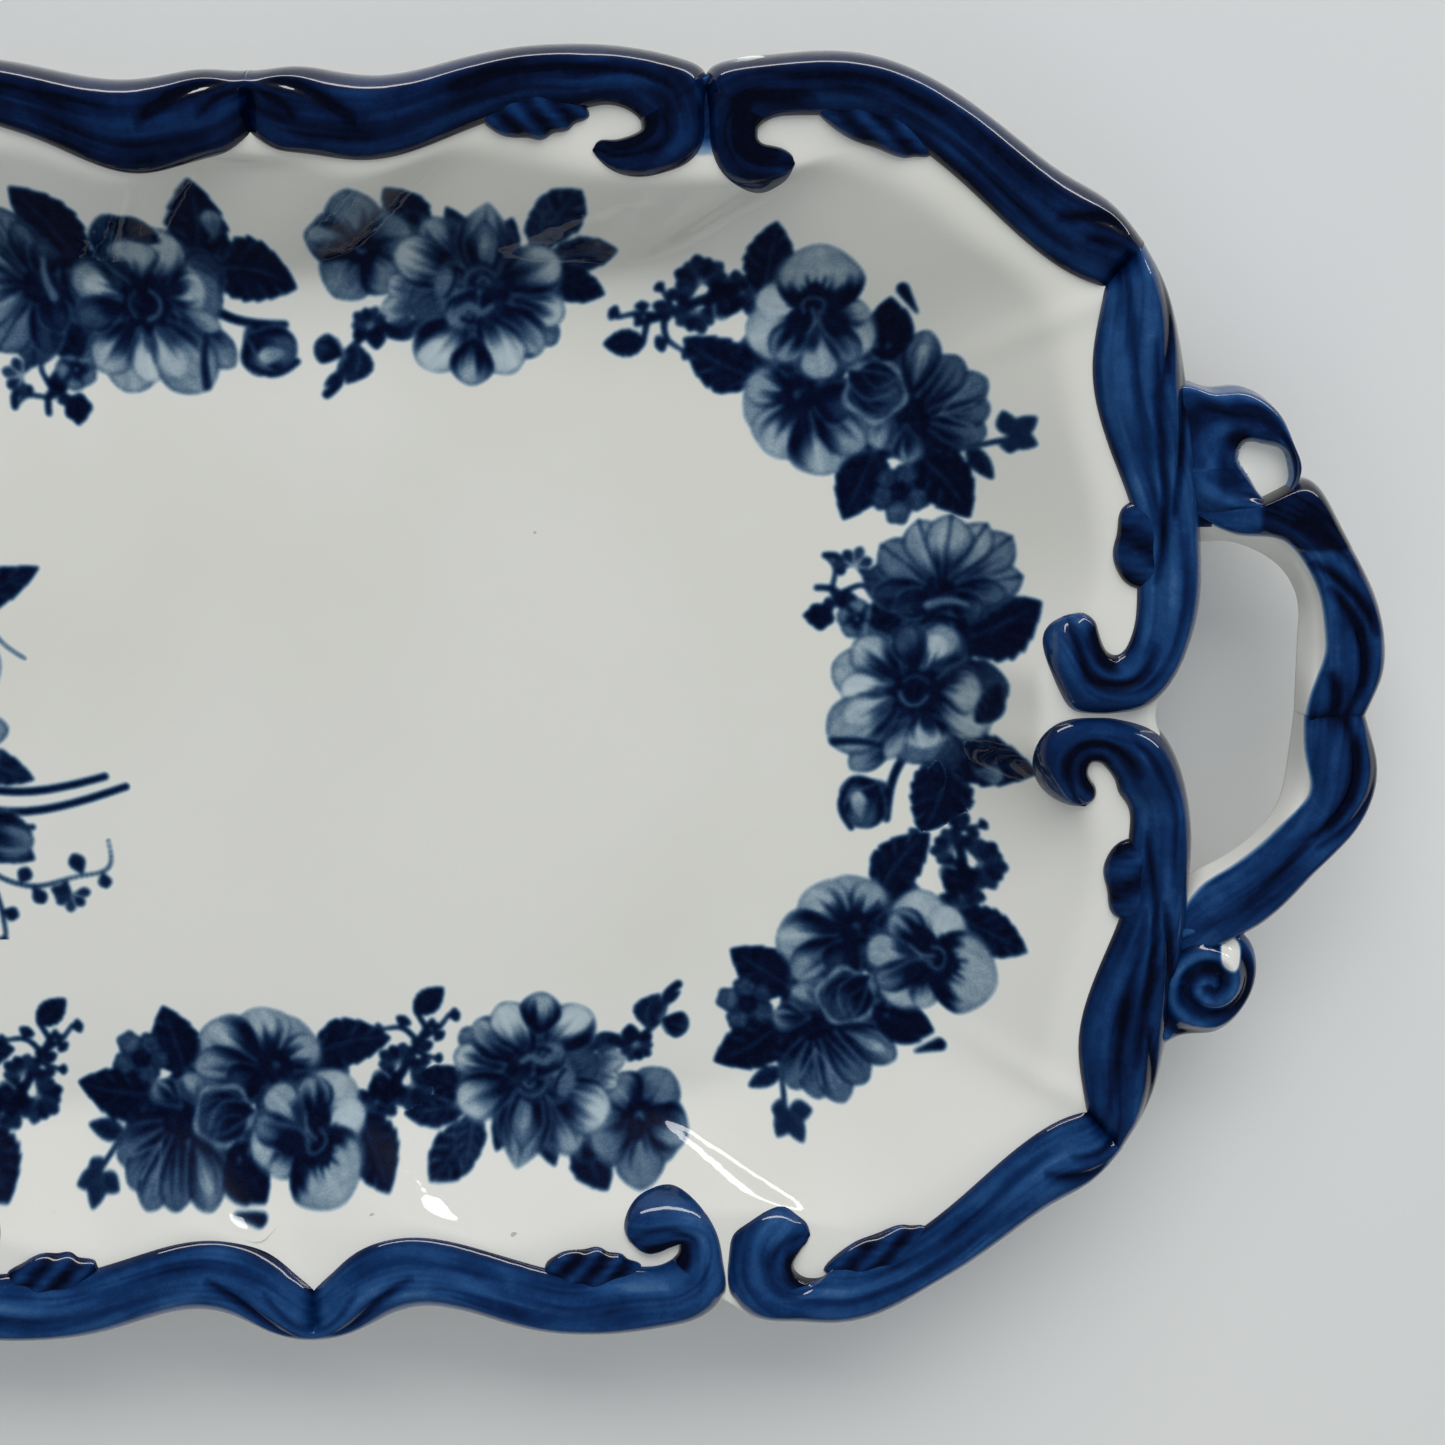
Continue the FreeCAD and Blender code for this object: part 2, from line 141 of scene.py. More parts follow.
# Handle bows on the right-hand end; the volute outlines run round their own eyes.
UPPER_BOW = [
    ((212.5, 27.4), (213, 34)),
    ((218.4, 27.6), (219, 34.4)),
    ((222.8, 27.4), (227, 35)),
    ((227.3, 25.6), (233.8, 37.6)),
    ((231.6, 22), (238.8, 31.8)),
    ((233.8, 17.2), (242.2, 25.6)),
    ((234, 12.5), (245.6, 19)),
    ((234, 8), (247.6, 11.5)),
    ((234, 4), (247.5, 5.4)),
    ((234, 0.8), (246.2, 1.8)),
    ((234, -1.3), (245, -1.3)),
]
LOWER_BOW = [
    ((234, -0.6), (245, -0.6)),
    ((233.7, -4), (246, -4)),
    ((233.1, -9), (247.2, -9)),
    ((232.3, -14), (246.6, -15)),
    ((230, -18.8), (243.2, -21.4)),
    ((226, -22.8), (238.4, -26.6)),
    ((221.6, -25.6), (233.8, -31.8)),
    ((217.8, -27.6), (229, -36)),
    ((214.5, -30.4), (223.6, -39)),
    ((210.5, -34.5), (217.5, -43.5)),
]
UPPER_VOLUTE = [
    (208, 36), (216, 30.6), (222, 31.2), (227.4, 33.2), (231.8, 36.8), (232.8, 39.6), (231.6, 43),
    (229.9, 47),
    (226.6, 50.6), (222.4, 52.2), (218, 52.1), (215.8, 52.8), (212, 53.4), (207, 46),
]
UPPER_EYE = [(227.5, 34.6), (231, 37.4), (230.9, 39.6), (229.9, 42.2), (226.5, 43.4), (223.6, 43.5),
    (222.6, 41.6),
             (224.6, 37.8)]
LOWER_VOLUTE = [
    (211, -34), (217.5, -33.8), (222.5, -35.6), (227, -38.6), (228.6, -44.8), (226.4, -50.8),
    (221.6, -54.8), (216, -55.4), (211, -58), (207, -45),
]

# ---------------------------------------------------------------- curves and fields


def resample(points, count, closed=False):
    """A smooth cubic curve through points, sampled evenly along its chord length."""
    p = np.array(points, float)
    if closed:
        p = np.vstack([p, p[:1]])
    t = np.concatenate([[0], np.cumsum(np.maximum(np.linalg.norm(np.diff(p, axis=0), axis=1), 1e-6))])
    return cubic(t, p, np.linspace(0, t[-1], count, endpoint=not closed), closed)


def cubic(t, p, at, closed=False):
    """Cubic spline through (t, p) at the given parameters: natural ends, or periodic."""
    n, h = len(t), np.diff(t)
    slope = np.diff(p, axis=0) / h[:, None]
    a, b = np.zeros((n, n)), np.zeros((n, p.shape[1]))
    for i in range(1, n - 1):
        a[i, i - 1 : i + 2] = h[i - 1], 2 * (h[i - 1] + h[i]), h[i]
        b[i] = 6 * (slope[i] - slope[i - 1])
    if closed:
        a[0, 0], a[0, 1], a[0, n - 2] = 2 * (h[0] + h[-1]), h[0], h[-1]
        b[0] = 6 * (slope[0] - slope[-1])
        a[n - 1, 0], a[n - 1, n - 1] = 1, -1
    else:
        a[0, 0] = a[n - 1, n - 1] = 1
    m = np.linalg.solve(a, b)
    i = np.clip(np.searchsorted(t, at, side="right") - 1, 0, n - 2)
    x, w = (at - t[i])[:, None], h[i][:, None]
    bend = (m[i + 1] - m[i]) / (6 * w)
    return p[i] + x * (slope[i] - w * (2 * m[i] + m[i + 1]) / 6) + m[i] / 2 * x**2 + bend * x**3


def all_round(quarter):
    """One quarter of an outline mirrored to the whole, counter-clockwise from the end's middle."""
    q = list(quarter)
    left_top = [(-x, y) for x, y in q[1:]]
    left_bottom = [(-x, -y) for x, y in q[-2::-1]]
    right_bottom = [(x, -y) for x, y in q[1:-1]]
    return q[::-1] + left_top + left_bottom + right_bottom


def radius_of(points, about=(0, 0)):
    """Distance from a middle point to a closed outline, as a function of the angle."""
    p = resample(points, 1600, closed=True) - np.array(about)
    angle, radius = np.arctan2(p[:, 1], p[:, 0]), np.hypot(p[:, 0], p[:, 1])
    order = np.argsort(angle)
    angle, radius = angle[order], radius[order]
    angle = np.concatenate([angle[-3:] - TAU, angle, angle[:3] + TAU])
    radius = np.concatenate([radius[-3:], radius, radius[:3]])
    return lambda a: np.interp((np.asarray(a) + math.pi) % TAU - math.pi, angle, radius)


def outer_quarter():
    side = [rib[1] for rib in SIDE_SCROLL[1:] + SIDE_HOOK[1][:3]]
    centre = [(2 * NOTCH_X - x, y) for x, y in side[::-1]]
    corner = [rib[1] for rib in CORNER_HOOK[1][-2:] + CORNER_SCROLL[:7]]
    end = [rib[1] for rib in END_SCROLL + END_HOOK[1][:1]]
    return [(0, 101.3), *centre, (NOTCH_X, 105.3), *side, (PAIR_X, 101.2), *corner, *end, (212.8, 3.4),
        (212, 0)]


# The slope starts a little inside the flat well's outline.
SLOPE_START = [(x * 0.99, y - 2) if y else (x - 2, 0) for x, y in WELL]
WELL_R, OPENING_R = radius_of(all_round(SLOPE_START)), radius_of(all_round(OPENING))
UNDER_R, FOOT_R = radius_of(all_round(UNDERSIDE)), radius_of(all_round(FOOT))
OUTER_R = radius_of(all_round(outer_quarter()))


def smooth(x, low=0.0, high=1.0):
    t = np.clip((x - low) / (high - low), 0, 1)
    return t * t * (3 - 2 * t)


def noise(x, y, seed=0):
    """Smooth noise from -1 to 1 with features about one unit wide."""
    rng = np.random.default_rng(seed)
    table = rng.uniform(-1, 1, (64, 64))
    x, y = np.asarray(x, float) + 1000, np.asarray(y, float) + 1000
    i, j = np.floor(x).astype(int), np.floor(y).astype(int)
    u, v = smooth(x - i), smooth(y - j)
    low = table[i % 64, j % 64] * (1 - u) + table[(i + 1) % 64, j % 64] * u
    high = table[i % 64, (j + 1) % 64] * (1 - u) + table[(i + 1) % 64, (j + 1) % 64] * u
    return low * (1 - v) + high * v


def slope_profile():
    """Rise from well (0) to lip (1): a long hollow sweep, a straight slope and a quick roll-over."""
    s = np.linspace(0, 1, 400)
    steep = smooth(s, 0, 0.36) * (1 - 0.82 * smooth(s, 0.82, 1.0))
    rise = np.concatenate([[0], np.cumsum((steep[1:] + steep[:-1]) / 2)])
    return s, rise / rise[-1]


SLOPE = slope_profile()


def dish_z(x, y):
    """Height of the glazed upper surface: flat well, rounded slope and gently rising rim."""
    x, y = np.asarray(x, float), np.asarray(y, float)
    a, r = np.arctan2(y, x), np.hypot(x, y)
    well, opening = WELL_R(a), OPENING_R(a)
    s = (r - well) / (opening - well)
    bend = np.where(s < 1, np.interp(s, *SLOPE), 1 + 0.1 * (s - 1))
    warp = 0.10 * noise(x / 55, y / 55, 4) * smooth(s, 0.1, 0.8)
    crease = np.exp(-(((np.abs(y) - 66 - (np.abs(x) - 201) * 0.45) / 2.6) ** 2)) * smooth(np.abs(x), 172, 196)
    return FLOOR_Z + (RIM_Z - FLOOR_Z) * bend + warp + 0.5 * crease


# ---------------------------------------------------------------- meshes


def grid_faces(rows, cols, closed_cols=False, flip=False):
    """Quads of a rows x cols grid of vertices."""
    i = np.arange(rows - 1)[:, None] * cols
    j = np.arange(cols if closed_cols else cols - 1)
    k = (j + 1) % cols
    quads = np.stack([i + j, i + cols + j, i + cols + k, i + k], -1).reshape(-1, 4)
    return quads[:, ::-1] if flip else quads


def make_mesh(name, points, faces, materials, ink=None, extra=()):
    """A smooth-shaded object from points in millimetres and a list or array of faces."""
    mesh = bpy.data.meshes.new(name)
    face_list = [list(map(int, f)) for f in faces] + [list(map(int, f)) for f in extra]
    mesh.from_pydata((np.asarray(points) * MM).tolist(), [], face_list)
    mesh.update()
    if ink is not None:
        layer = mesh.attributes.new("ink", "FLOAT", "POINT")
        layer.data.foreach_set("value", np.asarray(ink, np.float32).ravel())
    mesh.polygons.foreach_set("use_smooth", [True] * len(mesh.polygons))
    for material in materials:
        mesh.materials.append(material)
    obj = bpy.data.objects.new(name, mesh)
    bpy.context.scene.collection.objects.link(obj)
    return obj


def place(obj, slot, *nodes):
    """Makes a piece ride on the platter's one body and stand for its CAD nodes."""
    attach(obj, "root")
    if nodes:
        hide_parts(*nodes)
    return obj


def mirror(points, sx, sy):
    return points * np.array([sx, sy, 1.0])


# ---------------------------------------------------------------- materials


class Nodes:
    """Short-hand for building a material's node tree."""

    def __init__(self, name):
        self.material = bpy.data.materials.new(name)
        self.material.use_nodes = True
        self.tree = self.material.node_tree
        self.tree.nodes.clear()
        self.output = self.tree.nodes.new("ShaderNodeOutputMaterial")

    def add(self, kind, inputs=None, **settings):
        node = self.tree.nodes.new(kind)
        for key, value in settings.items():
            setattr(node, key, value)
        for key, value in (inputs or {}).items():
            if isinstance(value, bpy.types.NodeSocket):
                self.tree.links.new(value, node.inputs[key])
            else:
                node.inputs[key].default_value = value
        return node

    def noise(self, scale, detail=3.0, stretch=(1, 1, 1), roughness=0.5):
        """Noise in object coordinates; scale is in features per metre."""
        where = self.add("ShaderNodeTexCoord").outputs["Object"]
        scaled = self.add("ShaderNodeMapping", {"Vector": where, "Scale": stretch}).outputs[0]
        inputs = {"Vector": scaled, "Scale": scale, "Detail": detail, "Roughness": roughness}
        return self.add("ShaderNodeTexNoise", inputs).outputs["Fac"]

    def remap(self, value, low, high, to_low=0.0, to_high=1.0, kind="SMOOTHSTEP"):
        inputs = {"Value": value, "From Min": low, "From Max": high, "To Min": to_low, "To Max": to_high}
        return self.add("ShaderNodeMapRange", inputs, interpolation_type=kind).outputs["Result"]

    def mix(self, factor, a, b):
        node = self.add("ShaderNodeMix", {0: factor, 6: a, 7: b}, data_type="RGBA")
        return node.outputs[2]

    def math(self, operation, a, b=0.0):
        return self.add("ShaderNodeMath", {0: a, 1: b}, operation=operation).outputs[0]

    def ramp(self, value, stops):
        node = self.add("ShaderNodeValToRGB", {"Fac": value})
        elements = node.color_ramp.elements
        while len(elements) < len(stops):
            elements.new(0.5)
        for element, (position, colour) in zip(elements, stops):
            element.position = position
            element.color = (*colour, 1)
        return node.outputs["Color"]


def srgb(r, g, b):
    """Linear colour of an 8-bit sRGB value."""
    shares = (r / 255, g / 255, b / 255)
    return tuple(c / 12.92 if c <= 0.04045 else ((c + 0.055) / 1.055) ** 2.4 for c in shares)


# Ink over white glaze, from a thin veil to the full depth of the colour.
BORDER = [
    (0.0, srgb(205, 212, 214)), (0.15, srgb(140, 166, 190)), (0.35, srgb(74, 110, 152)),
    (0.52, srgb(34, 76, 128)), (0.68, srgb(12, 48, 96)), (0.84, srgb(4, 24, 62)), (1.0, srgb(0, 4, 24)),
]

PRINT_INK = [
    (0.0, srgb(218, 224, 225)), (0.15, srgb(178, 194, 203)), (0.3, srgb(130, 152, 167)),
    (0.42, srgb(94, 118, 140)),
    (0.54, srgb(62, 88, 117)), (0.66, srgb(38, 63, 93)), (0.76, srgb(20, 44, 76)), (0.86, srgb(7, 28, 60)),
    (0.93, srgb(2, 15, 46)), (1.0, srgb(0, 4, 30)),
]


def glaze(name, ramp, grain=0.03, ripple=0.10):
    """Clear glossy glaze over white clay, with ink where the mesh's ink layer says so."""
    n = Nodes(name)
    mottle = n.noise(14, 4)
    white = n.mix(n.remap(mottle, 0.35, 0.65), (*srgb(224, 224, 216), 1), (*srgb(230, 230, 225), 1))
    fine = n.noise(2600, 2)
    white = n.mix(n.remap(fine, 0.3, 0.7, 0.0, 0.05), white, (*srgb(206, 205, 196), 1))
    specks = n.remap(n.noise(330, 1), 0.815, 0.84)
    white = n.mix(n.math("MULTIPLY", specks, 0.5), white, (*srgb(120, 112, 98), 1))
    ink = n.add("ShaderNodeAttribute", attribute_name="ink").outputs["Fac"]
    grainy = n.math("ADD", n.remap(fine, 0.2, 0.8, -grain, grain, "LINEAR"),
                    n.remap(n.noise(520, 3), 0.25, 0.75, -grain, grain, "LINEAR"))
    depth = n.math("ADD", ink, n.math("MULTIPLY", grainy, n.remap(ink, 0.0, 0.35)))
    colour = n.mix(n.remap(ink, 0.0, 0.14), white, n.ramp(depth, ramp))
    waves = n.noise(140, 2)
    bump = n.add("ShaderNodeBump", {"Height": waves, "Strength": ripple, "Distance": 0.0012}).outputs[0]
    inputs = {
        "Base Color": colour, "Roughness": 0.32, "IOR": 1.5, "Coat Weight": 1.0, "Coat IOR": 1.42,
        "Coat Roughness": 0.035, "Coat Normal": bump, "Specular IOR Level": 0.05,
    }
    shader = n.add("ShaderNodeBsdfPrincipled", inputs)
    n.tree.links.new(shader.outputs[0], n.output.inputs["Surface"])
    return n.material


def bare_clay(name):
    """The wiped foot: matt warm clay with thin patches of glaze and a little shelf dust."""
    n = Nodes(name)
    patches = n.remap(n.noise(90, 4), 0.42, 0.62)
    grains = n.noise(1500, 3)
    clay = n.mix(n.remap(grains, 0.3, 0.7), (*srgb(206, 196, 176), 1), (*srgb(222, 214, 198), 1))
    colour = n.mix(n.math("MULTIPLY", patches, 0.7), clay, (*srgb(226, 225, 216), 1))
    rough = n.remap(patches, 0, 1, 0.75, 0.25, "LINEAR")
    bump = n.add("ShaderNodeBump", {"Height": grains, "Strength": 0.35, "Distance": 0.0003}).outputs[0]
    shader = n.add("ShaderNodeBsdfPrincipled", {"Base Color": colour, "Roughness": rough, "Normal": bump})
    n.tree.links.new(shader.outputs[0], n.output.inputs["Surface"])
    return n.material


def table_top(name):
    n = Nodes(name)
    cloud = n.noise(3, 3)
    colour = n.mix(n.remap(cloud, 0.35, 0.65), (*srgb(228, 230, 231), 1), (*srgb(234, 235, 234), 1))
    bump = n.add("ShaderNodeBump",
        {"Height": n.noise(900, 2), "Strength": 0.05, "Distance": 0.0003}).outputs[0]
    shader = n.add("ShaderNodeBsdfPrincipled", {"Base Color": colour, "Roughness": 0.55, "Normal": bump})
    n.tree.links.new(shader.outputs[0], n.output.inputs["Surface"])
    return n.material


GLAZE_DISH = glaze("white_glaze", BORDER)
GLAZE_BORDER = glaze("brushed_cobalt_glaze", BORDER, grain=0.035, ripple=0.16)
GLAZE_PRINT = glaze("transfer_print_glaze", PRINT_INK, grain=0.045)
CLAY = bare_clay("wiped_foot_clay")

# ---------------------------------------------------------------- dish and foot


def make_dish():
    rim = resample(all_round(OPENING), 960, closed=True)
    a = np.arctan2(rim[:, 1], rim[:, 0])
    direction = np.stack([np.cos(a), np.sin(a)], -1)
    well, opening, outer = WELL_R(a), OPENING_R(a), OUTER_R(a) - 1.7
    under, foot = UNDER_R(a), FOOT_R(a)
    top = [well * f for f in np.linspace(0.03, 1, 14)]
    top += [well + (opening - well) * f for f in np.linspace(0, 1, 56)[1:]]
    top += [opening + (outer - opening) * f for f in np.linspace(0, 1, 12)[1:]]
    rings = []
    for r in top:
        xy = direction * r[:, None]
        rings.append(np.column_stack([xy, dish_z(xy[:, 0], xy[:, 1])]))
    edge_z = rings[-1][:, 2]
    for f in np.linspace(0, 1, 9)[1:]:
        bulge = 0.7 * math.sin(math.pi * f)
        rings.append(np.column_stack([direction * (outer + bulge)[:, None], edge_z + (UNDER_Z - edge_z) * f]))
    for f in np.linspace(0, 1, 8)[1:]:
        rings.append(np.column_stack([direction * (outer + (under - outer) * f)[:, None],
            np.full(len(a), UNDER_Z)]))
    for f in np.linspace(0, 1, 26)[1:]:
        z = UNDER_Z + (FOOT_Z - UNDER_Z) * (0.35 * f + 0.65 * float(smooth(f)))
        rings.append(np.column_stack([direction * (under + (foot - 1 - under) * f)[:, None],
            np.full(len(a), z)]))
    for f in np.linspace(1, 0.03, 12)[1:]:
        z = FOOT_Z + 0.5 * (1 - f * f)
        rings.append(np.column_stack([direction * ((foot - 1) * f)[:, None], np.full(len(a), z)]))
    points = np.concatenate(rings)
    faces = grid_faces(len(rings), len(a), closed_cols=True)
    caps = [range(len(a)), range(len(points) - 1, len(points) - len(a) - 1, -1)]
    x, y, z = points.T
    between_hooks = np.exp(-(((np.abs(x) - PAIR_X) / 3.2) ** 2)) * smooth(y, 88, 92) * (z > UNDER_Z + 0.5)
    dish = make_mesh("dish_glazed", settled(points), faces, [GLAZE_DISH], ink=0.85 * between_hooks,
        extra=caps)
    return place(dish, "white_glaze", "platter_body")


def offset(points, distance):
    """A closed ring of points moved inwards."""
    along = np.roll(points, -1, 0) - np.roll(points, 1, 0)
    along /= np.linalg.norm(along, axis=1)[:, None]
    return points + np.column_stack([-along[:, 1], along[:, 0]]) * distance


def make_foot():
    rim = resample(all_round(FOOT), 900, closed=True)
    section = [(0.0, 2.4), (0.1, 1.2), (0.5, 0.4), (1.3, 0.05), (2.5, 0.0), (3.7, 0.05), (4.5, 0.4),
        (4.9, 1.2), (5, 2.4)]
    rings = [np.column_stack([offset(rim, d), np.full(len(rim), z)]) for d, z in section]
    faces = grid_faces(len(rings), len(rim), closed_cols=True)
    points = np.concatenate(rings)
    wobble = noise(points[:, 0] / 12, points[:, 1] / 12, 8) * (points[:, 2] < 1.5)
    points[:, 2] = np.maximum(points[:, 2] + 0.05 + 0.05 * wobble, 0)
    foot = make_mesh("foot_ring_wiped", points, faces, [CLAY])
    return place(foot, "foot_ceramic", "foot_ring")


# ---------------------------------------------------------------- moulded border


def rib_frames(ribs, step=0.4):
    """Both edges of a ribbon sampled evenly along it, with the distance run along its middle."""
    edges = np.array([[*well, *far] for well, far in ribs], float)
    middle = (edges[:, :2] + edges[:, 2:]) / 2
    far_run = np.linalg.norm(np.diff(edges[:, 2:], axis=0), axis=1)
    t = np.concatenate([[0], np.cumsum((np.linalg.norm(np.diff(middle, axis=0), axis=1) + far_run) / 2)])
    count = max(int(t[-1] / step), 8)
    at = np.linspace(0, t[-1], count)
    both = cubic(t, edges, at)
    return both[:, :2], both[:, 2:], at


def across(count):
    """Places across a ribbon from 0 to 1, closer together at its edges."""
    even = np.linspace(0, 1, count)
    return 0.55 * even + 0.45 * (1 - np.cos(math.pi * even)) / 2


def carve(u, v, strokes):
    """Depth of tapering gouges on a ribbon. A stroke is (u, v) of its start, (u, v) of its end, how far
    it bows sideways, its depth and its half width across the ribbon."""
    depth = np.zeros(np.broadcast(u, v).shape)
    for (u0, v0), (u1, v1), bow, deep, wide in strokes:
        s = (u - u0) / (u1 - u0)
        middle = v0 + (v1 - v0) * s + bow * 4 * s * (1 - s)
        taper = np.sqrt(np.clip(4 * s * (1 - s), 0, 1)) * ((s > 0) & (s < 1))
        gouge = np.exp(-np.abs((v - middle) / wide) ** 1.6) * taper * deep
        depth = np.maximum(depth, gouge)
    return depth


ROLL = 0.68  # crest of a rim scroll, where its outer roll begins
SIDE_STROKES = [
    ((0.01, 0.80), (0.20, 0.46), 0.10, 0.90, 0.07),
    ((0.00, 0.70), (0.10, 0.40), 0.06, 0.45, 0.06),
    ((0.08, 0.22), (0.58, 0.30), 0.05, 0.30, 0.08),
    ((0.22, 0.62), (0.80, 0.54), 0.04, 0.42, 0.09),
    ((0.66, 0.30), (1.00, 0.40), 0.06, 0.60, 0.12),
]
CORNER_STROKES = [
    ((0.00, 0.40), (0.36, 0.30), 0.06, 0.60, 0.12),
    ((0.20, 0.54), (0.82, 0.62), 0.04, 0.42, 0.09),
    ((0.44, 0.28), (0.90, 0.24), 0.05, 0.35, 0.07),
    ((0.99, 0.80), (0.84, 0.44), 0.10, 0.85, 0.07),
    ((1.00, 0.66), (0.90, 0.40), 0.05, 0.45, 0.06),
]
END_STROKES = [
    ((0.00, 0.92), (0.24, 0.62), 0.10, 0.80, 0.06),
    ((0.08, 0.99), (0.44, 0.52), 0.14, 1.10, 0.06),
    ((0.02, 0.40), (0.42, 0.30), 0.05, 0.60, 0.07),
    ((0.14, 0.66), (0.56, 0.22), 0.08, 0.80, 0.06),
    ((0.46, 0.66), (0.78, 0.60), 0.04, 0.45, 0.08),
    ((0.66, 0.36), (1.00, 0.44), 0.06, 0.80, 0.09),
]


def rounded(well, far, run, ends):
    """Draws a ribbon's edges together at the given ends so that they finish round."""
    middle = (well + far) / 2
    squeeze = np.ones(len(run))
    for end in ends:
        away = run if end == 0 else run[-1] - run
        squeeze *= np.sqrt(np.clip(1 - (1 - np.clip(away / 1.2, 0.02, 1)) ** 2, 0, 1))
    return middle + (well - middle) * squeeze[:, None], middle + (far - middle) * squeeze[:, None]


def rim_ribbon(ribs, butt, strokes, seed, painted_side_shade):
    """A moulded scroll of the rim. butt is the end (0 or -1) that meets its neighbour in a crease.
    Returns rows of points round its section, and the ink for each."""
    well, far, run = rib_frames(ribs)
    well, far = rounded(well, far, run, [-1 if butt == 0 else 0])
    rows, v = len(run), across(56)[None, :].repeat(len(run), 0)
    u = (run / run[-1])[:, None]
    width = np.linalg.norm(far - well, axis=1)
    xy = well[:, None] + (far - well)[:, None] * v[..., None]
    on_rim = smooth(np.hypot(*far.T) / OUTER_R(np.arctan2(far[:, 1], far[:, 0])), 0.955, 0.985)[:, None]
    from_butt = run if butt == 0 else run[-1] - run
    from_tip = (run[-1] - from_butt)[:, None]
    size = np.clip(width / 10, 0.3, 1.1)[:, None]
    inner = 1 - smooth(v, 0.60, 0.80)
    crease = 1 - 0.7 * np.exp(-((from_butt / 1.6) ** 1.5))[:, None] * inner
    apart = smooth(from_butt, 0, 8)[:, None]
    apart = apart + (1 - apart) * inner
    ground = dish_z(xy[..., 0], xy[..., 1])
    gouge = carve(u + 0 * v, v, strokes) * apart
    shoulder = 1.0 * np.sqrt(np.clip(1 - (1 - np.clip(v / 0.12, 0, 1)) ** 2, 0, 1))
    slope = 2.3 * (1 - np.clip((ROLL - v) / ROLL, 0, 1) ** 2)
    hook = 1 - on_rim
    slope = slope + hook * (1.9 * np.sqrt(np.clip(1 - (2 * v - 1) ** 2, 0, 1)) - slope)
    swell = (0.30 * noise(u * 5, v * 1.3, seed) + 0.06 * noise(u * 20, v * 3, seed + 1)) * apart
    crest = ground - 0.3 + (shoulder + slope + swell * smooth(v, 0.05, 0.3) - gouge) * size * crease
    side = np.sqrt(np.clip(1 - (np.clip(v - ROLL, 0, 1) / (1 - ROLL)) ** 2, 0, 1))
    low_side = (ground - 0.8) * (1 - on_rim) + 17.4 * on_rim
    top_z = low_side + (crest - low_side) * side ** 0.8
    back = np.linspace(1, 0, 9)[None, :].repeat(rows, 0)
    back_xy = well[:, None] + (far - well)[:, None] * (0.985 * back)[..., None]
    sunk = (dish_z(back_xy[..., 0], back_xy[..., 1]) - 2) * (1 - on_rim) + 15.25 * on_rim
    back_z = sunk + 0.9 * smooth(back, 0.86, 1.0)
    points = np.concatenate([np.dstack([xy, top_z]), np.dstack([back_xy, back_z])], 1)
    # Painted shade: the last term adds ink to this whole half of a scroll by the side it lies on, darker on
    # the upper (+Y) long-side scrolls that face away from the light and lighter on the lower ones.
    ink = painted(run[:, None], v, width[:, None], gouge, seed) + painted_side_shade
    ink += 0.22 * np.exp(-((from_butt / 1.8) ** 2))[:, None] * inner
    ink += 0.42 * hook * (1 - smooth(v, 0.12, 0.36)) * smooth(from_tip, 2, 8)
    ink = np.concatenate([np.clip(ink, 0, 1), np.full(back.shape, 0.85)], 1)
    return points, ink


def painted(run, v, width, gouge, seed):
    """Brushed cobalt: streaks that run with the ribbon, thick in the gouges and thin on the ridges."""
    side = v * width
    broad = noise(run / 20, side / 1.7, seed + 2)
    fine = noise(run / 9, side / 0.55, seed + 3)
    dabs = noise(run / 6, side / 3.0, seed + 4)
    pooled_ink_and_shade = 0.20 * np.exp(-((side / 0.9) ** 2)) + 0.10 * smooth(v, 0.84, 0.97)
    return 0.66 + 0.11 * broad + 0.06 * fine + 0.08 * dabs + 0.42 * np.clip(gouge, 0, 1) + pooled_ink_and_shade


def settled(points):
    """The long sides as they came out of the kiln: low at the creases and fuller on the lower side."""
    x, y = points[..., 0], points[..., 1]
    outside = smooth(np.abs(y), 87, 93) * (1 - smooth(np.abs(x), 165, 195))
    at_crease = np.exp(-(((np.abs(x) - NOTCH_X) / 9) ** 2))
    lower_edge = smooth(-y, 98, 105) * (1 - at_crease)
    moved = points.copy()
    moved[..., 1] -= outside * (2.5 * at_crease + 1.8 * lower_edge)
    return moved


def hand_made(points):
    """Shifts points a little, the same for every piece at a place, as on a hand-finished moulding."""
    x, y = points[..., 0], points[..., 1]
    weight = smooth(np.maximum(np.abs(x) / 200, np.abs(y) / 95), 0.8, 1.0)
    lobe = 1.8 * np.exp(-(((x - 52) / 11) ** 2)) * smooth(98 - y, 0, 8) * (y > 80)
    moved = settled(points)
    moved[..., 0] += 0.35 * weight * noise(x / 22, y / 22, 11)
    moved[..., 1] += 0.35 * weight * noise(x / 22, y / 22, 12)
    moved[..., 1] -= lobe
    return moved


def tube_mesh(name, section_rows, ink, sx, sy, material):
    """A closed ribbon from rows of points round its section, mirrored by the signs sx and sy."""
    rows, cols = section_rows.shape[:2]
    points = hand_made(mirror(section_rows.reshape(-1, 3), sx, sy))
    faces = grid_faces(rows, cols, closed_cols=True, flip=sx * sy > 0)
    caps = [range(cols), range(rows * cols - 1, (rows - 1) * cols - 1, -1)]
    if sx * sy < 0:
        caps = [list(cap)[::-1] for cap in caps]
    return make_mesh(name, points, faces, [material], ink=ink.ravel(), extra=caps)


QUARTERS = (("top_right", 1, 1), ("bottom_right", 1, -1), ("top_left", -1, 1), ("bottom_left", -1, -1))


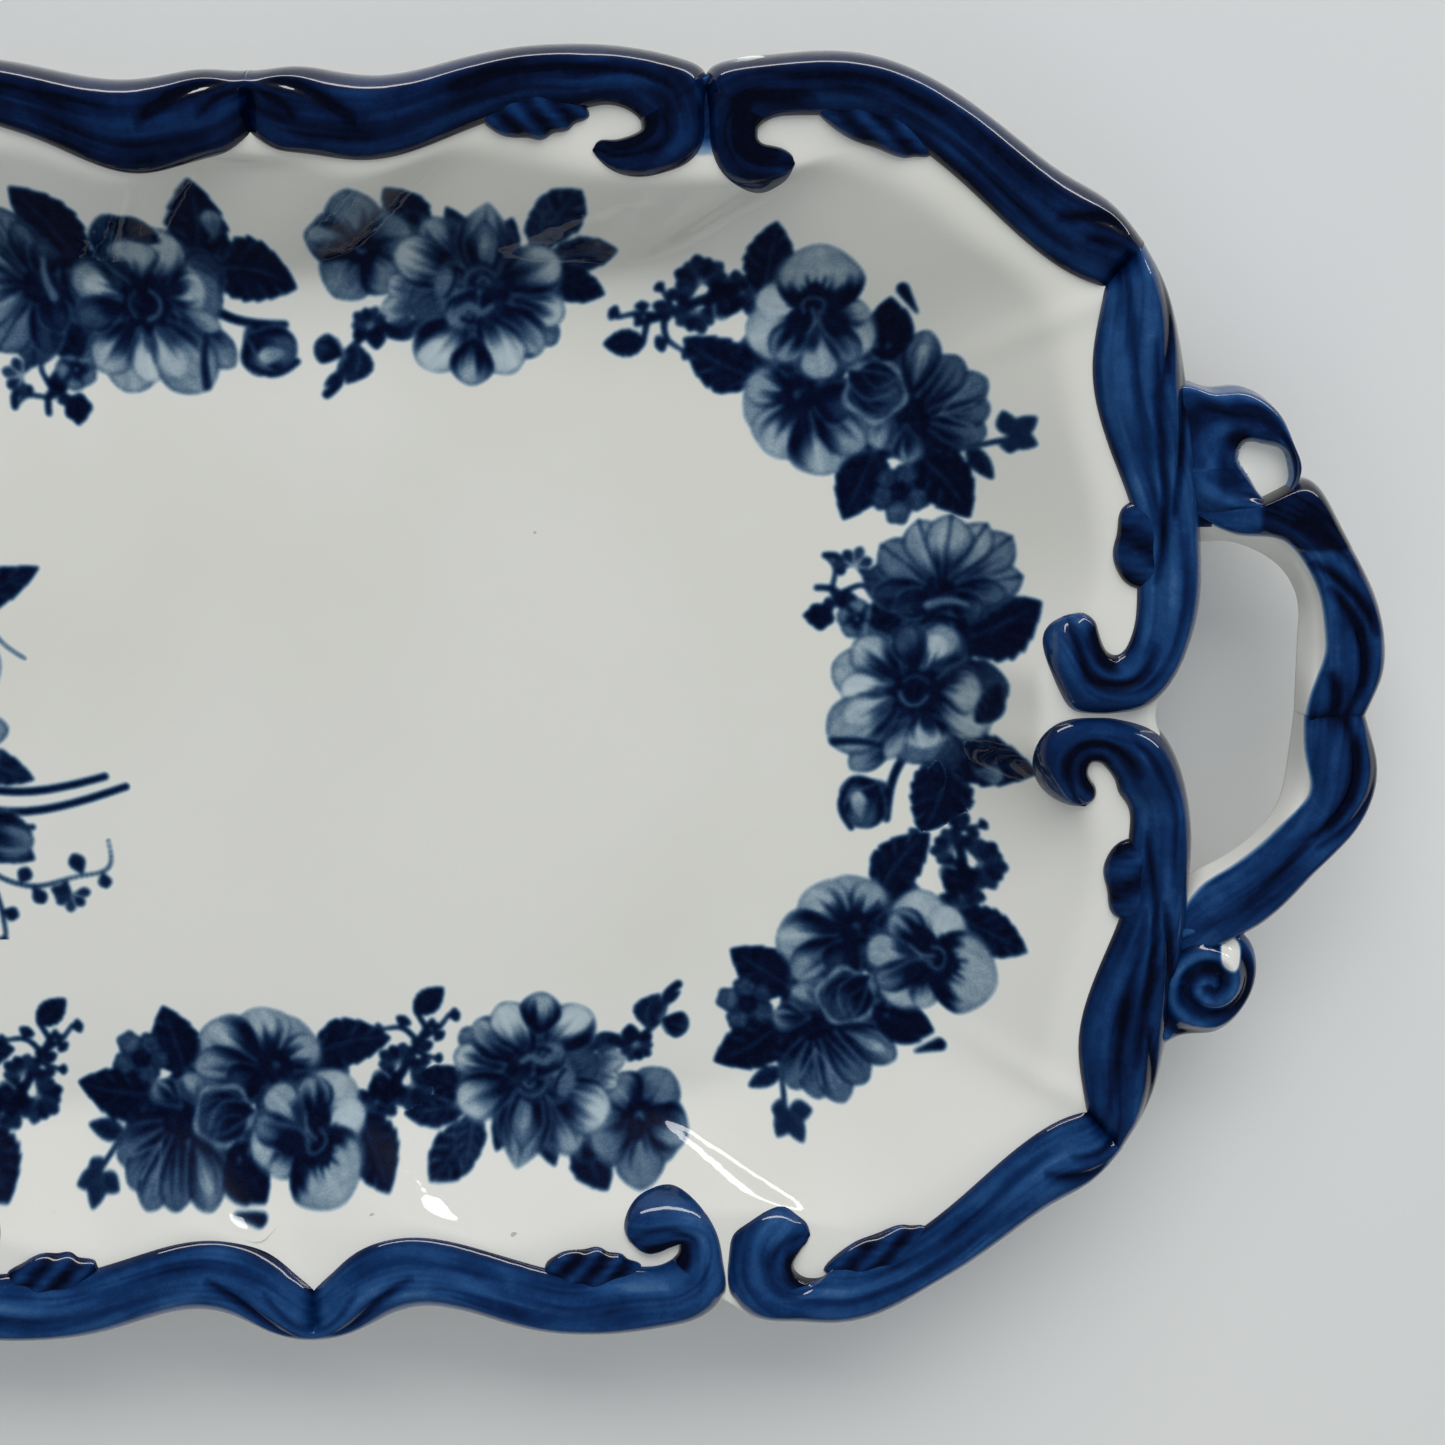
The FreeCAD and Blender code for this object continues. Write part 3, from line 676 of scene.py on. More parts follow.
def ribs_of(kind, sy):
    """All the ribs of a scroll, with the hook it has on the upper (1) or lower (-1) side."""
    if kind == "corner":
        return CORNER_HOOK[sy] + CORNER_SCROLL
    if kind == "end":
        return END_SCROLL + END_HOOK[sy]
    side = SIDE_SCROLL + SIDE_HOOK[sy]
    if kind == "side":
        return side
    return [tuple((2 * NOTCH_X - x, y) for x, y in rib) for rib in side]


def make_border():
    kinds = (("centre", 0, SIDE_STROKES, 3), ("side", 0, SIDE_STROKES, 5),
             ("corner", -1, CORNER_STROKES, 8), ("end", 0, END_STROKES, 13))
    for kind, butt, strokes, seed in kinds:
        for number, (quarter, sx, sy) in enumerate(QUARTERS):
            # Painted shade per half: the upper (+Y) long-side scrolls are inked darker and the lower ones
            # lighter, as the light leaves them; the end scrolls' lower halves get a little more ink than
            # their upper halves.
            painted_side_shade = -0.05 * sy if kind == "end" else 0.04 + 0.10 * sy
            section, ink = rim_ribbon(ribs_of(kind, sy), butt, strokes, seed + 20 * number, painted_side_shade)
            obj = tube_mesh(f"scroll_{kind}_{quarter}", section, ink, sx, sy, GLAZE_BORDER)
            if kind == "centre":
                obj.data.flip_normals()
            place(obj, "cobalt_glaze", f"border_{kind}_scroll_{quarter}")


def polar_patch(about, outline, rings, spokes):
    """Points of a patch spread out from a middle point to a closed outline, as (xy, fraction, angle)."""
    angle = np.linspace(-math.pi, math.pi, spokes, endpoint=False)
    fraction = np.sin(np.linspace(0.02, 1, rings) * math.pi / 2)[:, None]
    reach = fraction * radius_of(outline, about)(angle)[None, :]
    x, y = about[0] + reach * np.cos(angle), about[1] + reach * np.sin(angle)
    return np.dstack([x, y]), np.broadcast_to(fraction, x.shape), np.broadcast_to(angle, x.shape), reach


def patch_mesh(name, xy, z, ink, bottom, sx, sy, material):
    """A patch closed underneath: its rings, then its edge taken down to a lower height."""
    spokes = xy.shape[1]
    rings = np.dstack([xy, z]).reshape(-1, 3)
    skirt = []
    for f in (0.25, 0.6, 1.0):
        skirt.append(np.column_stack([xy[-1], z[-1] + (bottom - z[-1]) * f]))
    points = np.concatenate([rings, *skirt])
    count = len(points) // spokes
    faces = grid_faces(count, spokes, closed_cols=True, flip=sx * sy < 0)
    caps = [list(range(spokes)), list(range(len(points) - 1, len(points) - spokes - 1, -1))]
    if sx * sy < 0:
        caps = [cap[::-1] for cap in caps]
    all_ink = np.concatenate([ink.ravel(), np.full(3 * spokes, float(ink[-1].mean()))])
    points = hand_made(mirror(points, sx, sy))
    return make_mesh(name, points, faces, [material], ink=all_ink, extra=caps)


TUFTS = {
    "centre": [(2 * NOTCH_X - 112.5, 95),
        [(36, 93.5), (32, 91.6), (27.5, 91), (23.5, 92.2), (19.5, 95), (22, 98), (31, 98)]],
    "side": [(112.5, 95),
        [(104, 93.5), (108, 91.6), (112.5, 91), (116.5, 92.2), (120.5, 95), (118, 98), (109, 98)]],
    "corner": [(166, 92.5),
        [(156.5, 95), (160, 92), (164.5, 89.6), (169.5, 88), (173.5, 88.2), (173, 92), (166, 96)]],
    "end": [(207, 27.5),
        [(207.5, 35), (204.5, 33), (203.4, 29), (203.2, 25.2), (204.6, 21.4), (208, 20), (211, 27.5)]],
}


# How far a tuft sits along its long side from its place in the pattern, on the upper (1) or lower (-1) side.
TUFT_SHIFT = {("centre", 1): -4.5, ("centre", -1): -2.0, ("side", 1): 1.5, ("side", -1): 5.0}


def make_tufts():
    """Little curled leaves against the scrolls, four of each kind in one piece."""
    for seed, (kind, (about, outline)) in enumerate(TUFTS.items()):
        made = []
        for quarter, sx, sy in QUARTERS:
            xy, fraction, angle, reach = polar_patch(about, outline, 22, 120)
            ridge = np.cos(TAU * (xy[..., 0] + 0.9 * xy[..., 1]) / 4.9 + seed)
            if kind == "end":
                ridge = np.cos(TAU * (0.5 * xy[..., 0] + xy[..., 1]) / 7.6 + 1.2)
            frill = 1 + 0.05 * ridge * fraction**2
            xy = np.array(about) + (xy - np.array(about)) * frill[..., None]
            ground = dish_z(xy[..., 0], xy[..., 1])
            z = ground - 0.25 + (2.6 + 0.15 * ridge) * np.sqrt(np.clip(1 - fraction**2.2, 0, 1))
            streak = noise(xy[..., 0] / 2.2, xy[..., 1] / 0.7, seed + 30)
            ink = np.clip(0.84 - 0.14 * ridge + 0.08 * streak, 0.3, 1)
            xy = xy + np.array((TUFT_SHIFT.get((kind, sy), 0), 0))
            made.append(patch_mesh(f"leaf_tuft_{kind}_{quarter}", xy, z, ink, 18.0, sx, sy, GLAZE_BORDER))
        joined = join(made, f"leaf_tufts_{kind}")
        place(joined, "cobalt_glaze", f"leaf_tuft_{kind}s")


def join(objects, name):
    """Joins mesh objects into the first one."""
    with bpy.context.temp_override(active_object=objects[0], selected_editable_objects=objects):
        bpy.ops.object.join()
    objects[0].name = name
    return objects[0]


# ---------------------------------------------------------------- handles

BOW_STROKES = {
    "upper": [
        ((0.46, 0.30), (0.78, 0.86), 0.10, 1.0, 0.07),
        ((0.56, 0.40), (1.00, 0.62), 0.18, 1.1, 0.07),
        ((0.84, 0.30), (1.02, 0.42), 0.06, 0.8, 0.07),
        ((0.34, 0.44), (0.62, 0.90), 0.05, 0.6, 0.06),
    ],
    "lower": [
        ((-0.02, 0.62), (0.44, 0.44), 0.16, 1.1, 0.08),
        ((0.04, 0.90), (0.46, 0.66), 0.10, 0.8, 0.07),
        ((0.40, 0.46), (0.90, 0.60), 0.05, 0.6, 0.08),
    ],
}


def bow_ribbon(ribs, part, seed):
    """Half of a handle's bow: rounded underneath, fluted on top, with a bare white wall at the gap."""
    well, far, run = rib_frames(ribs)
    v = across(56)[None, :].repeat(len(run), 0)
    u = (run / run[-1])[:, None]
    width = np.linalg.norm(far - well, axis=1)[:, None]
    xy = well[:, None] + (far - well)[:, None] * v[..., None]
    to_crease = (run[-1] - run if part == "upper" else run)[:, None]
    to_root = (run if part == "upper" else run[-1] - run)[:, None]
    if part == "upper":
        bare = 0.11 + 0.17 * smooth(u, 0.1, 0.4) * (1 - smooth(u, 0.74, 0.97))
        bare = bare + 0.62 * np.exp(-((to_root / 9) ** 2))
    else:
        bare = 0.10 + 0.13 * np.exp(-(((u - 0.24) / 0.11) ** 2)) + 0.25 * np.exp(-((to_root / 8) ** 2))
    bare = bare + 0.012 * noise(run[:, None] / 7, 0 * v, seed)
    gouge = carve(u + 0 * v, v, BOW_STROKES[part])
    crease = 1 - 0.55 * np.exp(-((to_crease / 1.6) ** 1.5))
    swell = 0.3 * noise(u * 5, v * 1.3, seed) + 0.10 * noise(u * 18, v * 4, seed + 1)
    wall = 18.2 + 4.6 * np.sqrt(smooth(v / bare, -0.02, 1.25))
    hump = 1.5 * np.sqrt(np.clip(1 - ((v - 0.62) / 0.42) ** 2, 0, 1))
    root = smooth(to_root, 3, 14)
    edge_y = np.clip(29.6 - 0.6 * (xy[..., 0] - 227), 26.6, 30)
    collar = smooth(xy[..., 0], 225.6, 226.8) * smooth(xy[..., 1] - edge_y, -0.5, 0.5)
    crest = wall + (hump + swell - gouge + 0.6 * collar) * smooth(v / bare, 0.6, 1.2) * crease * root
    side = np.sqrt(np.clip(1 - (np.clip(v - 0.84, 0, 1) / 0.16) ** 2, 0, 1))
    top_z = 19.0 + (crest - 19.0) * side
    top_z = np.minimum(top_z, 25.6)
    back = np.linspace(1, 0, 20)[None, :].repeat(len(run), 0)
    back_xy = well[:, None] + (far - well)[:, None] * back[..., None]
    belly = np.sqrt(np.clip(1 - (2 * back - 1) ** 2, 0, 1))
    back_z = 18.2 + 0.8 * back - (2.2 + 0.8 * back) * belly
    points = np.concatenate([np.dstack([xy, top_z]), np.dstack([back_xy, back_z])[:, 1:-1]], 1)
    edge = smooth((v - bare) * width, -0.45, 0.35)
    ink = painted(run[:, None], v, width, gouge, seed) + 0.2 * np.exp(-((to_crease / 1.6) ** 2))
    ink = ink + 0.3 * collar
    under = smooth(back[:, 1:-1], 0.80, 0.95) * 0.8
    ink = np.concatenate([np.clip(ink, 0, 1) * edge, under], 1)
    return points, ink


def make_bows():
    for part, ribs, node in (("upper", UPPER_BOW, "upper_bow"), ("lower", LOWER_BOW, "lower_bow")):
        for seed, (side, sx) in enumerate((("right", 1), ("left", -1))):
            section, ink = bow_ribbon(ribs, part, 40 + 7 * seed + (part == "lower"))
            obj = tube_mesh(f"bow_{part}_{side}", section, ink, sx, 1, GLAZE_BORDER)
            place(obj, "cobalt_glaze", f"handle_{side}_{node}")


def make_volutes():
    """The curls at the roots of each handle: one round a white eye, one a closed spiral."""
    for seed, (side, sx) in enumerate((("right", 1), ("left", -1))):
        eye_middle = (226.4, 39.6)
        xy, fraction, angle, reach = polar_patch(eye_middle, UPPER_VOLUTE, 60, 220)
        eye = radius_of(UPPER_EYE, eye_middle)(angle)
        out = (reach - eye) / (reach[-1] - eye)
        ring = np.sqrt(np.clip(1 - (np.clip(2 * out - 1, -1, 1)) ** 2, 0, 1))
        turn = 0.5 * np.cos(out * 9 - angle * 0.8) * smooth(out, 0.1, 0.4)
        joined = smooth(np.cos(angle - math.radians(-125)), 0.1, 0.6) * smooth(out, 0.5, 0.7)
        ring = ring + (0.86 - ring) * joined
        z = 20.4 + np.where(out > 0, 3.1 * ring**0.8 + turn * ring, -0.25 + 0.25 * (reach / eye) ** 2)
        z = z - 2.2 * smooth(out, 0.9, 1.0) * (1 - 0.7 * joined)
        streak = noise(angle * 2.2, out * 7, 60 + seed) * 0.12 + noise(angle * 5, out * 16, 62 + seed) * 0.06
        # Painted shade: a spot of extra ink on the ring's inner slope at the eye's upper left, the side that
        # faces away from the light.
        pooled_ink_and_shade = 0.35 * np.exp(-((xy[..., 0] - 222.4) ** 2 + (xy[..., 1] - 44.6) ** 2) / 3.4)
        ink = (0.76 + streak - 0.3 * turn + pooled_ink_and_shade) * smooth(reach - eye, -0.25, 0.35)
        upper = patch_mesh(f"volute_upper_{side}", xy, z, np.clip(ink, 0, 1), 16.6, sx, 1, GLAZE_BORDER)
        place(upper, "cobalt_glaze", f"handle_{side}_upper_volute")

        middle = (220.4, -45.4)
        xy, fraction, angle, reach = polar_patch(middle, LOWER_VOLUTE, 60, 220)
        spiral = np.cos(reach * TAU / 4.6 - angle + 0.6)
        dome = np.sqrt(np.clip(1 - fraction**2.6, 0, 1))
        z = 19.6 + 4.2 * dome + 0.75 * spiral * smooth(fraction, 0.05, 0.3) * smooth(1 - fraction, 0, 0.3)
        white = np.exp(-(((xy[..., 0] - 223.6) / 2.2) ** 2) - ((xy[..., 1] + 40.3) / 3.2) ** 2)
        streak = noise(angle * 2.2, reach / 1.2, 64 + seed) * 0.12
        ink = np.clip(0.78 - 0.2 * spiral + streak, 0, 1) * (1 - smooth(white, 0.35, 0.6))
        lower = patch_mesh(f"volute_lower_{side}", xy, z, ink, 16.6, sx, 1, GLAZE_BORDER)
        place(lower, "cobalt_glaze", f"handle_{side}_lower_volute")


# ---------------------------------------------------------------- transfer prints


class Paper:
    """A patch of transfer print: ink from 0 to 1 on a fine grid, painted back to front, in mm."""

    STEP = 0.24

    def __init__(self, half_x, half_y, seed):
        self.half = (half_x, half_y)
        across_x = np.arange(-half_x, half_x, self.STEP)
        self.x, self.y = np.meshgrid(across_x, np.arange(-half_y, half_y, self.STEP))
        self.ink = np.zeros(self.x.shape)
        self.seed = seed

    def part(self, points, margin):
        """The piece of the sheet near some points; laying ink on it lays ink on the sheet."""
        self.seed += 1
        piece = Paper.__new__(Paper)
        piece.seed = self.seed
        spans = []
        for axis in (1, 0):
            values = [point[axis] + self.half[axis] for point in points]
            low, high = (min(values) - margin) / self.STEP, (max(values) + margin) / self.STEP
            spans.append(slice(max(0, int(low)), max(1, int(high) + 2)))
        rows, cols = spans
        piece.x, piece.y, piece.ink = self.x[rows, cols], self.y[rows, cols], self.ink[rows, cols]
        return piece

    def lay(self, cover, tone):
        self.ink[...] = self.ink * (1 - cover) + np.clip(tone, 0, 1) * cover

    def separate(self, inside, tone=0.5, strength=0.6):
        """A pale hair-line just outside a shape, only where it lies over ink."""
        margin = np.exp(-(((inside + 0.30) / 0.32) ** 2))
        self.lay(strength * margin * smooth(self.ink, 0.45, 0.8), tone)

    def axis(self, base, tip, bend=0.0):
        """Fraction along a shape's axis, distance beside it, and its length; the axis may bow."""
        length = math.dist(base, tip)
        c, s = (tip[0] - base[0]) / length, (tip[1] - base[1]) / length
        dx, dy = self.x - base[0], self.y - base[1]
        along = (dx * c + dy * s) / length
        beside = dy * c - dx * s - bend * 4 * along * (1 - along)
        return along, beside, length

    @staticmethod
    def half_width(along, width, widest, blunt):
        t = np.clip(along, 0, 1)
        return width * np.sin(math.pi * t ** (math.log(0.5) / math.log(widest))) ** blunt

    def petal(
        self, base, tip, width, dark=0.93, pale=0.36, rim=0.78, widest=0.64, blunt=0.62, bend=0.0, reach=0.58
    ):
        p = self.part((base, tip), width + abs(bend) + 1)
        along, beside, length = p.axis(base, tip, bend)
        ruffle = 1 + 0.06 * noise(along * 5 + 2 * np.sign(beside), 0 * along, p.seed)
        half = p.half_width(along, width, widest, blunt) * ruffle
        inside = np.minimum(half - np.abs(beside), np.minimum(1 - along, along + 0.02) * length)
        if width > 2:
            p.separate(inside)
        slant = beside / (half + 0.4)
        whisker = noise(slant * 3.6 + 7, along * 0.7, p.seed)
        whisker = whisker + 0.6 * noise(slant * 8, along * 1.2, p.seed + 50)
        shade = 1 - smooth(along + 0.26 * whisker - 0.16 * slant**2, 0.5 * reach, 1.45 * reach)
        pale = pale - 0.08
        tone = pale + (dark - pale) * shade
        tone = tone + 0.06 * noise(slant * 9, along * 2.0, p.seed + 90) + 0.16 * np.abs(slant) ** 3
        edge = np.exp(-((inside / 0.5) ** 2)) * (0.75 + 0.25 * noise(along * 4, slant * 2, p.seed + 9))
        tone = tone + np.maximum(rim - tone, 0) * edge
        p.lay(smooth(inside, -0.2, 0.3), tone)

    def leaf(self, base, tip, width, tone=0.97, light=0.26, teeth=6, bend=0.0, widest=0.45):
        p = self.part((base, tip), width + abs(bend) + 1)
        along, beside, length = p.axis(base, tip, bend)
        saw = (along * teeth) % 1.0
        half = p.half_width(along, width, widest, 0.85) * (1.06 - 0.13 * saw * (width > 2))
        within = (along > 0) & (along < 1)
        inside = half - np.abs(beside)
        if width > 2.3:
            p.separate(np.where(within, inside, -9), 0.6, 0.5)
        slant = np.abs(beside) / (half + 0.3)
        veins = smooth(np.cos(TAU * (along * 5.5 - slant * 1.3 + 0.3)), 0.3, 1) * smooth(slant, 0.05, 0.5)
        patch = smooth(noise(along * 2.2, beside / 2.4, p.seed), -0.3, 0.8)
        midrib = np.exp(-((beside / 0.28) ** 2)) * smooth(1 - along, 0, 0.3)
        ink = tone - light * (veins * (0.2 + 0.8 * patch) * (1 - slant**4) + 0.6 * midrib * (width > 2))
        p.lay(smooth(inside, -0.2, 0.25) * within, ink)

    def stroke(self, points, start, end, tone=0.95):
        """A tapering line through points; start and end are its half widths."""
        p = self.part(points, max(start, end) + 1)
        gap = np.full(p.x.shape, -99.0)
        for n, (px, py) in enumerate(resample(points, 40)):
            half = start + (end - start) * n / 39
            gap = np.maximum(gap, half - np.hypot(p.x - px, p.y - py))
        p.lay(smooth(gap, -0.2, 0.25), tone)

    def spot(self, x, y, radius, tone=0.95, rim=None):
        """A round bud with streaks, optionally outlined."""
        p = self.part([(x, y)], radius * 1.1 + 1)
        away = np.hypot(p.x - x, p.y - y)
        wave = radius * (1 + 0.08 * np.sin(5 * np.arctan2(p.y - y, p.x - x) + x))
        inside = wave - away
        ink = tone + 0.10 * noise(p.x / 0.9, p.y / 0.9, p.seed)
        if rim is not None:
            ink = ink + (rim - ink) * np.exp(-((inside / 0.45) ** 2))
        p.lay(smooth(inside, -0.2, 0.25), ink)

    def blossom(self, x, y, reach, petals, turn, dark=0.95, pale=0.45, heart=0.28, wide=0.62):
        """A small open flower of even petals with a dark heart and a pale dot."""
        for n in range(petals):
            a = math.radians(turn + 360 * n / petals)
            size = reach * (1 + 0.06 * math.sin(3 * n + x))
            tip = (x + size * math.cos(a), y + size * math.sin(a))
            self.petal((x, y), tip, reach * wide * 0.62, dark, pale, rim=0.88, widest=0.62, blunt=0.7,
                reach=0.42)
        self.spot(x, y, reach * heart, 0.97)
        self.spot(x - 0.1, y, reach * 0.085, 0.35)

    def sprig(self, points, leaves, size=1.0, tone=0.95):
        """A stem with small lobed leaves; leaves are (fraction along it, direction, length)."""
        self.stroke(points, 0.5, 0.3, tone)
        path = resample(points, 101)
        for at, way, length in leaves:
            x, y = path[int(at * 100)]
            a = math.radians(way)
            tip = (x + length * math.cos(a), y + length * math.sin(a))
            self.leaf((x, y), tip, size * (0.45 + 0.16 * length), tone - 0.03, light=0.1, widest=0.62)

    def feather(self, x, y, radius, turn, count=7, tone=0.93):
        """A tight lobed leaf, like parsley: fingers round the end of a short stem."""
        for n in range(count):
            a = math.radians(turn + (n - (count - 1) / 2) * 250 / count)
            size = radius * (1 - 0.10 * (n % 2))
            tip = (x + size * math.cos(a), y + size * math.sin(a))
            self.leaf((x, y), tip, radius * 0.24, tone - 0.07 * (n % 3), light=0.15, widest=0.7)

    def finished(self):
        """The print after firing: edges a little soft, with a faint blue breath around them."""
        soft = blur(self.ink, 0.28 / self.STEP)
        breath = 0.075 * blur((self.ink > 0.3).astype(float), 1.15 / self.STEP)
        ink = np.maximum(soft, breath)
        return np.where(ink < 0.004, 0, ink)


def blur(field, sigma):
    reach = int(3 * sigma) + 1
    weights = np.exp(-0.5 * (np.arange(-reach, reach + 1) / sigma) ** 2)
    weights /= weights.sum()
    for axis in (0, 1):
        field = sum(w * np.roll(field, k - reach, axis) for k, w in enumerate(weights))
    return field


def peony_spray():
    p = Paper(30, 20, 100)
    # three-lobed leaf at the right
    p.leaf((11, 5.5), (18.4, 15.6), 3.8, 0.96, 0.35, teeth=4, bend=1.0, widest=0.6)
    p.leaf((11, 5.5), (12.3, 14.4), 2.6, 0.90, 0.35, teeth=3)
    p.leaf((11, 5), (23.4, 6.2), 2.7, 0.95, 0.3, teeth=4, widest=0.55)
    p.leaf((10.5, 4.5), (21, -0.9), 2.9, 0.99, 0.16, teeth=4, bend=-0.8, widest=0.55)
    # leaf between the flowers
    p.leaf((-8.5, 6.5), (-12.2, 16.4), 3.6, 0.97, 0.22, bend=-1.4, widest=0.55)
    p.leaf((-11.5, 9), (-5.6, 11.2), 2.4, 0.99, 0.12, teeth=4)
    p.petal((-14, 8), (-9.6, 10.2), 2.2, 0.8, 0.42)
    # sprig at the lower left
    p.stroke([(-7, -5), (-12, -5.6), (-17, -6.4), (-20.5, -9)], 0.8, 0.5, 0.95)
    p.leaf((-9, -5), (-14.6, -7), 1.7, 0.9, 0.2)
    p.feather(-17, -5.4, 3.4, 105, 7, 0.97)
    p.leaf((-16.2, -5.5), (-16.2, -9.2), 1.5, 0.97, 0.1)
    p.leaf((-14.5, -5), (-12.2, -7.4), 1.2, 0.95, 0.1)
    p.leaf((-19.6, -8), (-21.4, -14.6), 2.4, 0.93, 0.3, bend=1.3)
    p.stroke([(-20.8, -9.5), (-22, -12), (-22.4, -14), (-24.6, -16.2)], 0.6, 0.7, 0.96)
    p.leaf((-21.6, -12.6), (-25.0, -15.0), 0.8, 0.9, 0.1)
    p.petal((-21.5, -10), (-26.2, -8.2), 2.4, 0.99, 0.88, 0.8)
    p.stroke([(-22.6, -7.4), (-21.6, -10), (-22.2, -12.2)], 0.3, 0.2, 0.5)
    # six-petalled flower
    p.blossom(-17.5, 7, 8.8, 5, 92, heart=0.33, pale=0.52, wide=0.78)
    p.petal((-17.5, 6.6), (-25.9, 9.4), 3.3, 0.95, 0.42, 0.92, widest=0.6)
    p.spot(-17.5, 6.8, 2.5, 0.99)
    p.stroke([(-18.1, 7.0), (-17.4, 6.4), (-16.9, 6.9)], 0.32, 0.2, 0.45)
    # peony: a dark ground, then outer petals first
    p.spot(0, -0.5, 9.2, 0.95)
    p.spot(-7, -1.5, 4.0, 0.93)
    p.spot(1, 6, 5.5, 0.97)
    p.leaf((1, 4), (-3.2, 13.4), 2.6, 0.95, 0.25)
    p.leaf((4, 3), (7.2, 11.6), 2.4, 0.98, 0.2)
    p.petal((-8.5, 0), (-14.2, 1.6), 2.4, 0.6, 0.25)
    p.petal((-8, -2), (-15.2, -2.9), 2.3, 0.7, 0.30, 0.6)
    p.petal((9, -4), (12.8, -8.7), 2.2, 0.6, 0.55, 0.92)
    p.petal((6, -1.5), (14.4, -4.2), 3.5, 0.95, 0.27)
    p.petal((-1, 1), (-10.5, -3.2), 3.6, 0.97, 0.75, 0.85)
    p.petal((-1, 3), (-7, 11.5), 3.4, 0.97, 0.40)
    p.petal((-1, 2), (-12.4, 6.8), 4.3, 0.96, 0.26, reach=0.62)
    p.petal((1, 1), (3.6, 14), 4.3, 0.95, 0.45, 0.35, widest=0.5, blunt=0.8)
    p.petal((1.5, 2), (2.8, 11.2), 2.9, 0.96, 0.55, 0.92, widest=0.5, blunt=0.8)
    p.petal((2.4, 3), (2.6, 9.4), 1.5, 0.55, 0.42, 0.5, widest=0.5, blunt=0.8)
    p.petal((3, 0.5), (14.2, 5.0), 4.1, 0.95, 0.27, 0.6, reach=0.6)
    p.petal((3, -2), (10.4, -10.2), 3.9, 0.97, 0.40, 0.7, reach=0.6)
    p.petal((0.6, -3), (6.0, -13.3), 4.1, 0.97, 0.24, 0.72, reach=0.52)
    p.petal((-1, -4), (-9.4, -11.8), 4.4, 0.97, 0.22, 0.55, reach=0.55)
    p.petal((-0.4, -7.5), (-1.2, -15.2), 3.5, 1.0, 0.36, 0.85, widest=0.55, reach=0.62)
    # ruffled heart
    p.spot(0.6, -0.6, 5.0, 0.93)
    p.petal((0.5, 0), (-6.4, 1.6), 3.6, 0.9, 0.6, 0.35, reach=0.5)
    p.petal((0.4, 0.4), (-4.0, -5.6), 2.5, 0.95, 0.55, 0.4)
    p.spot(1.6, 2.2, 2.3, 0.9)
    p.stroke([(-1.6, 0.2), (-1.0, 2.6), (1.6, 3.6), (3.6, 2.4)], 0.4, 0.3, 0.62)
    p.stroke([(-2.6, -3.4), (-0.8, -2.4), (0.8, -3.4), (2.6, -2.6)], 0.8, 0.6, 0.55)
    p.stroke([(-2.2, -4.4), (-0.4, -5.0), (1.4, -4.6)], 0.35, 0.25, 0.98)
    p.stroke([(0.6, 1.4), (1.6, 2.2), (2.4, 1.2)], 0.3, 0.3, 0.55)
    p.stroke([(-4.6, -0.8), (-3.2, 1.2), (-2.9, 3.6)], 0.3, 0.3, 0.97)
    return p


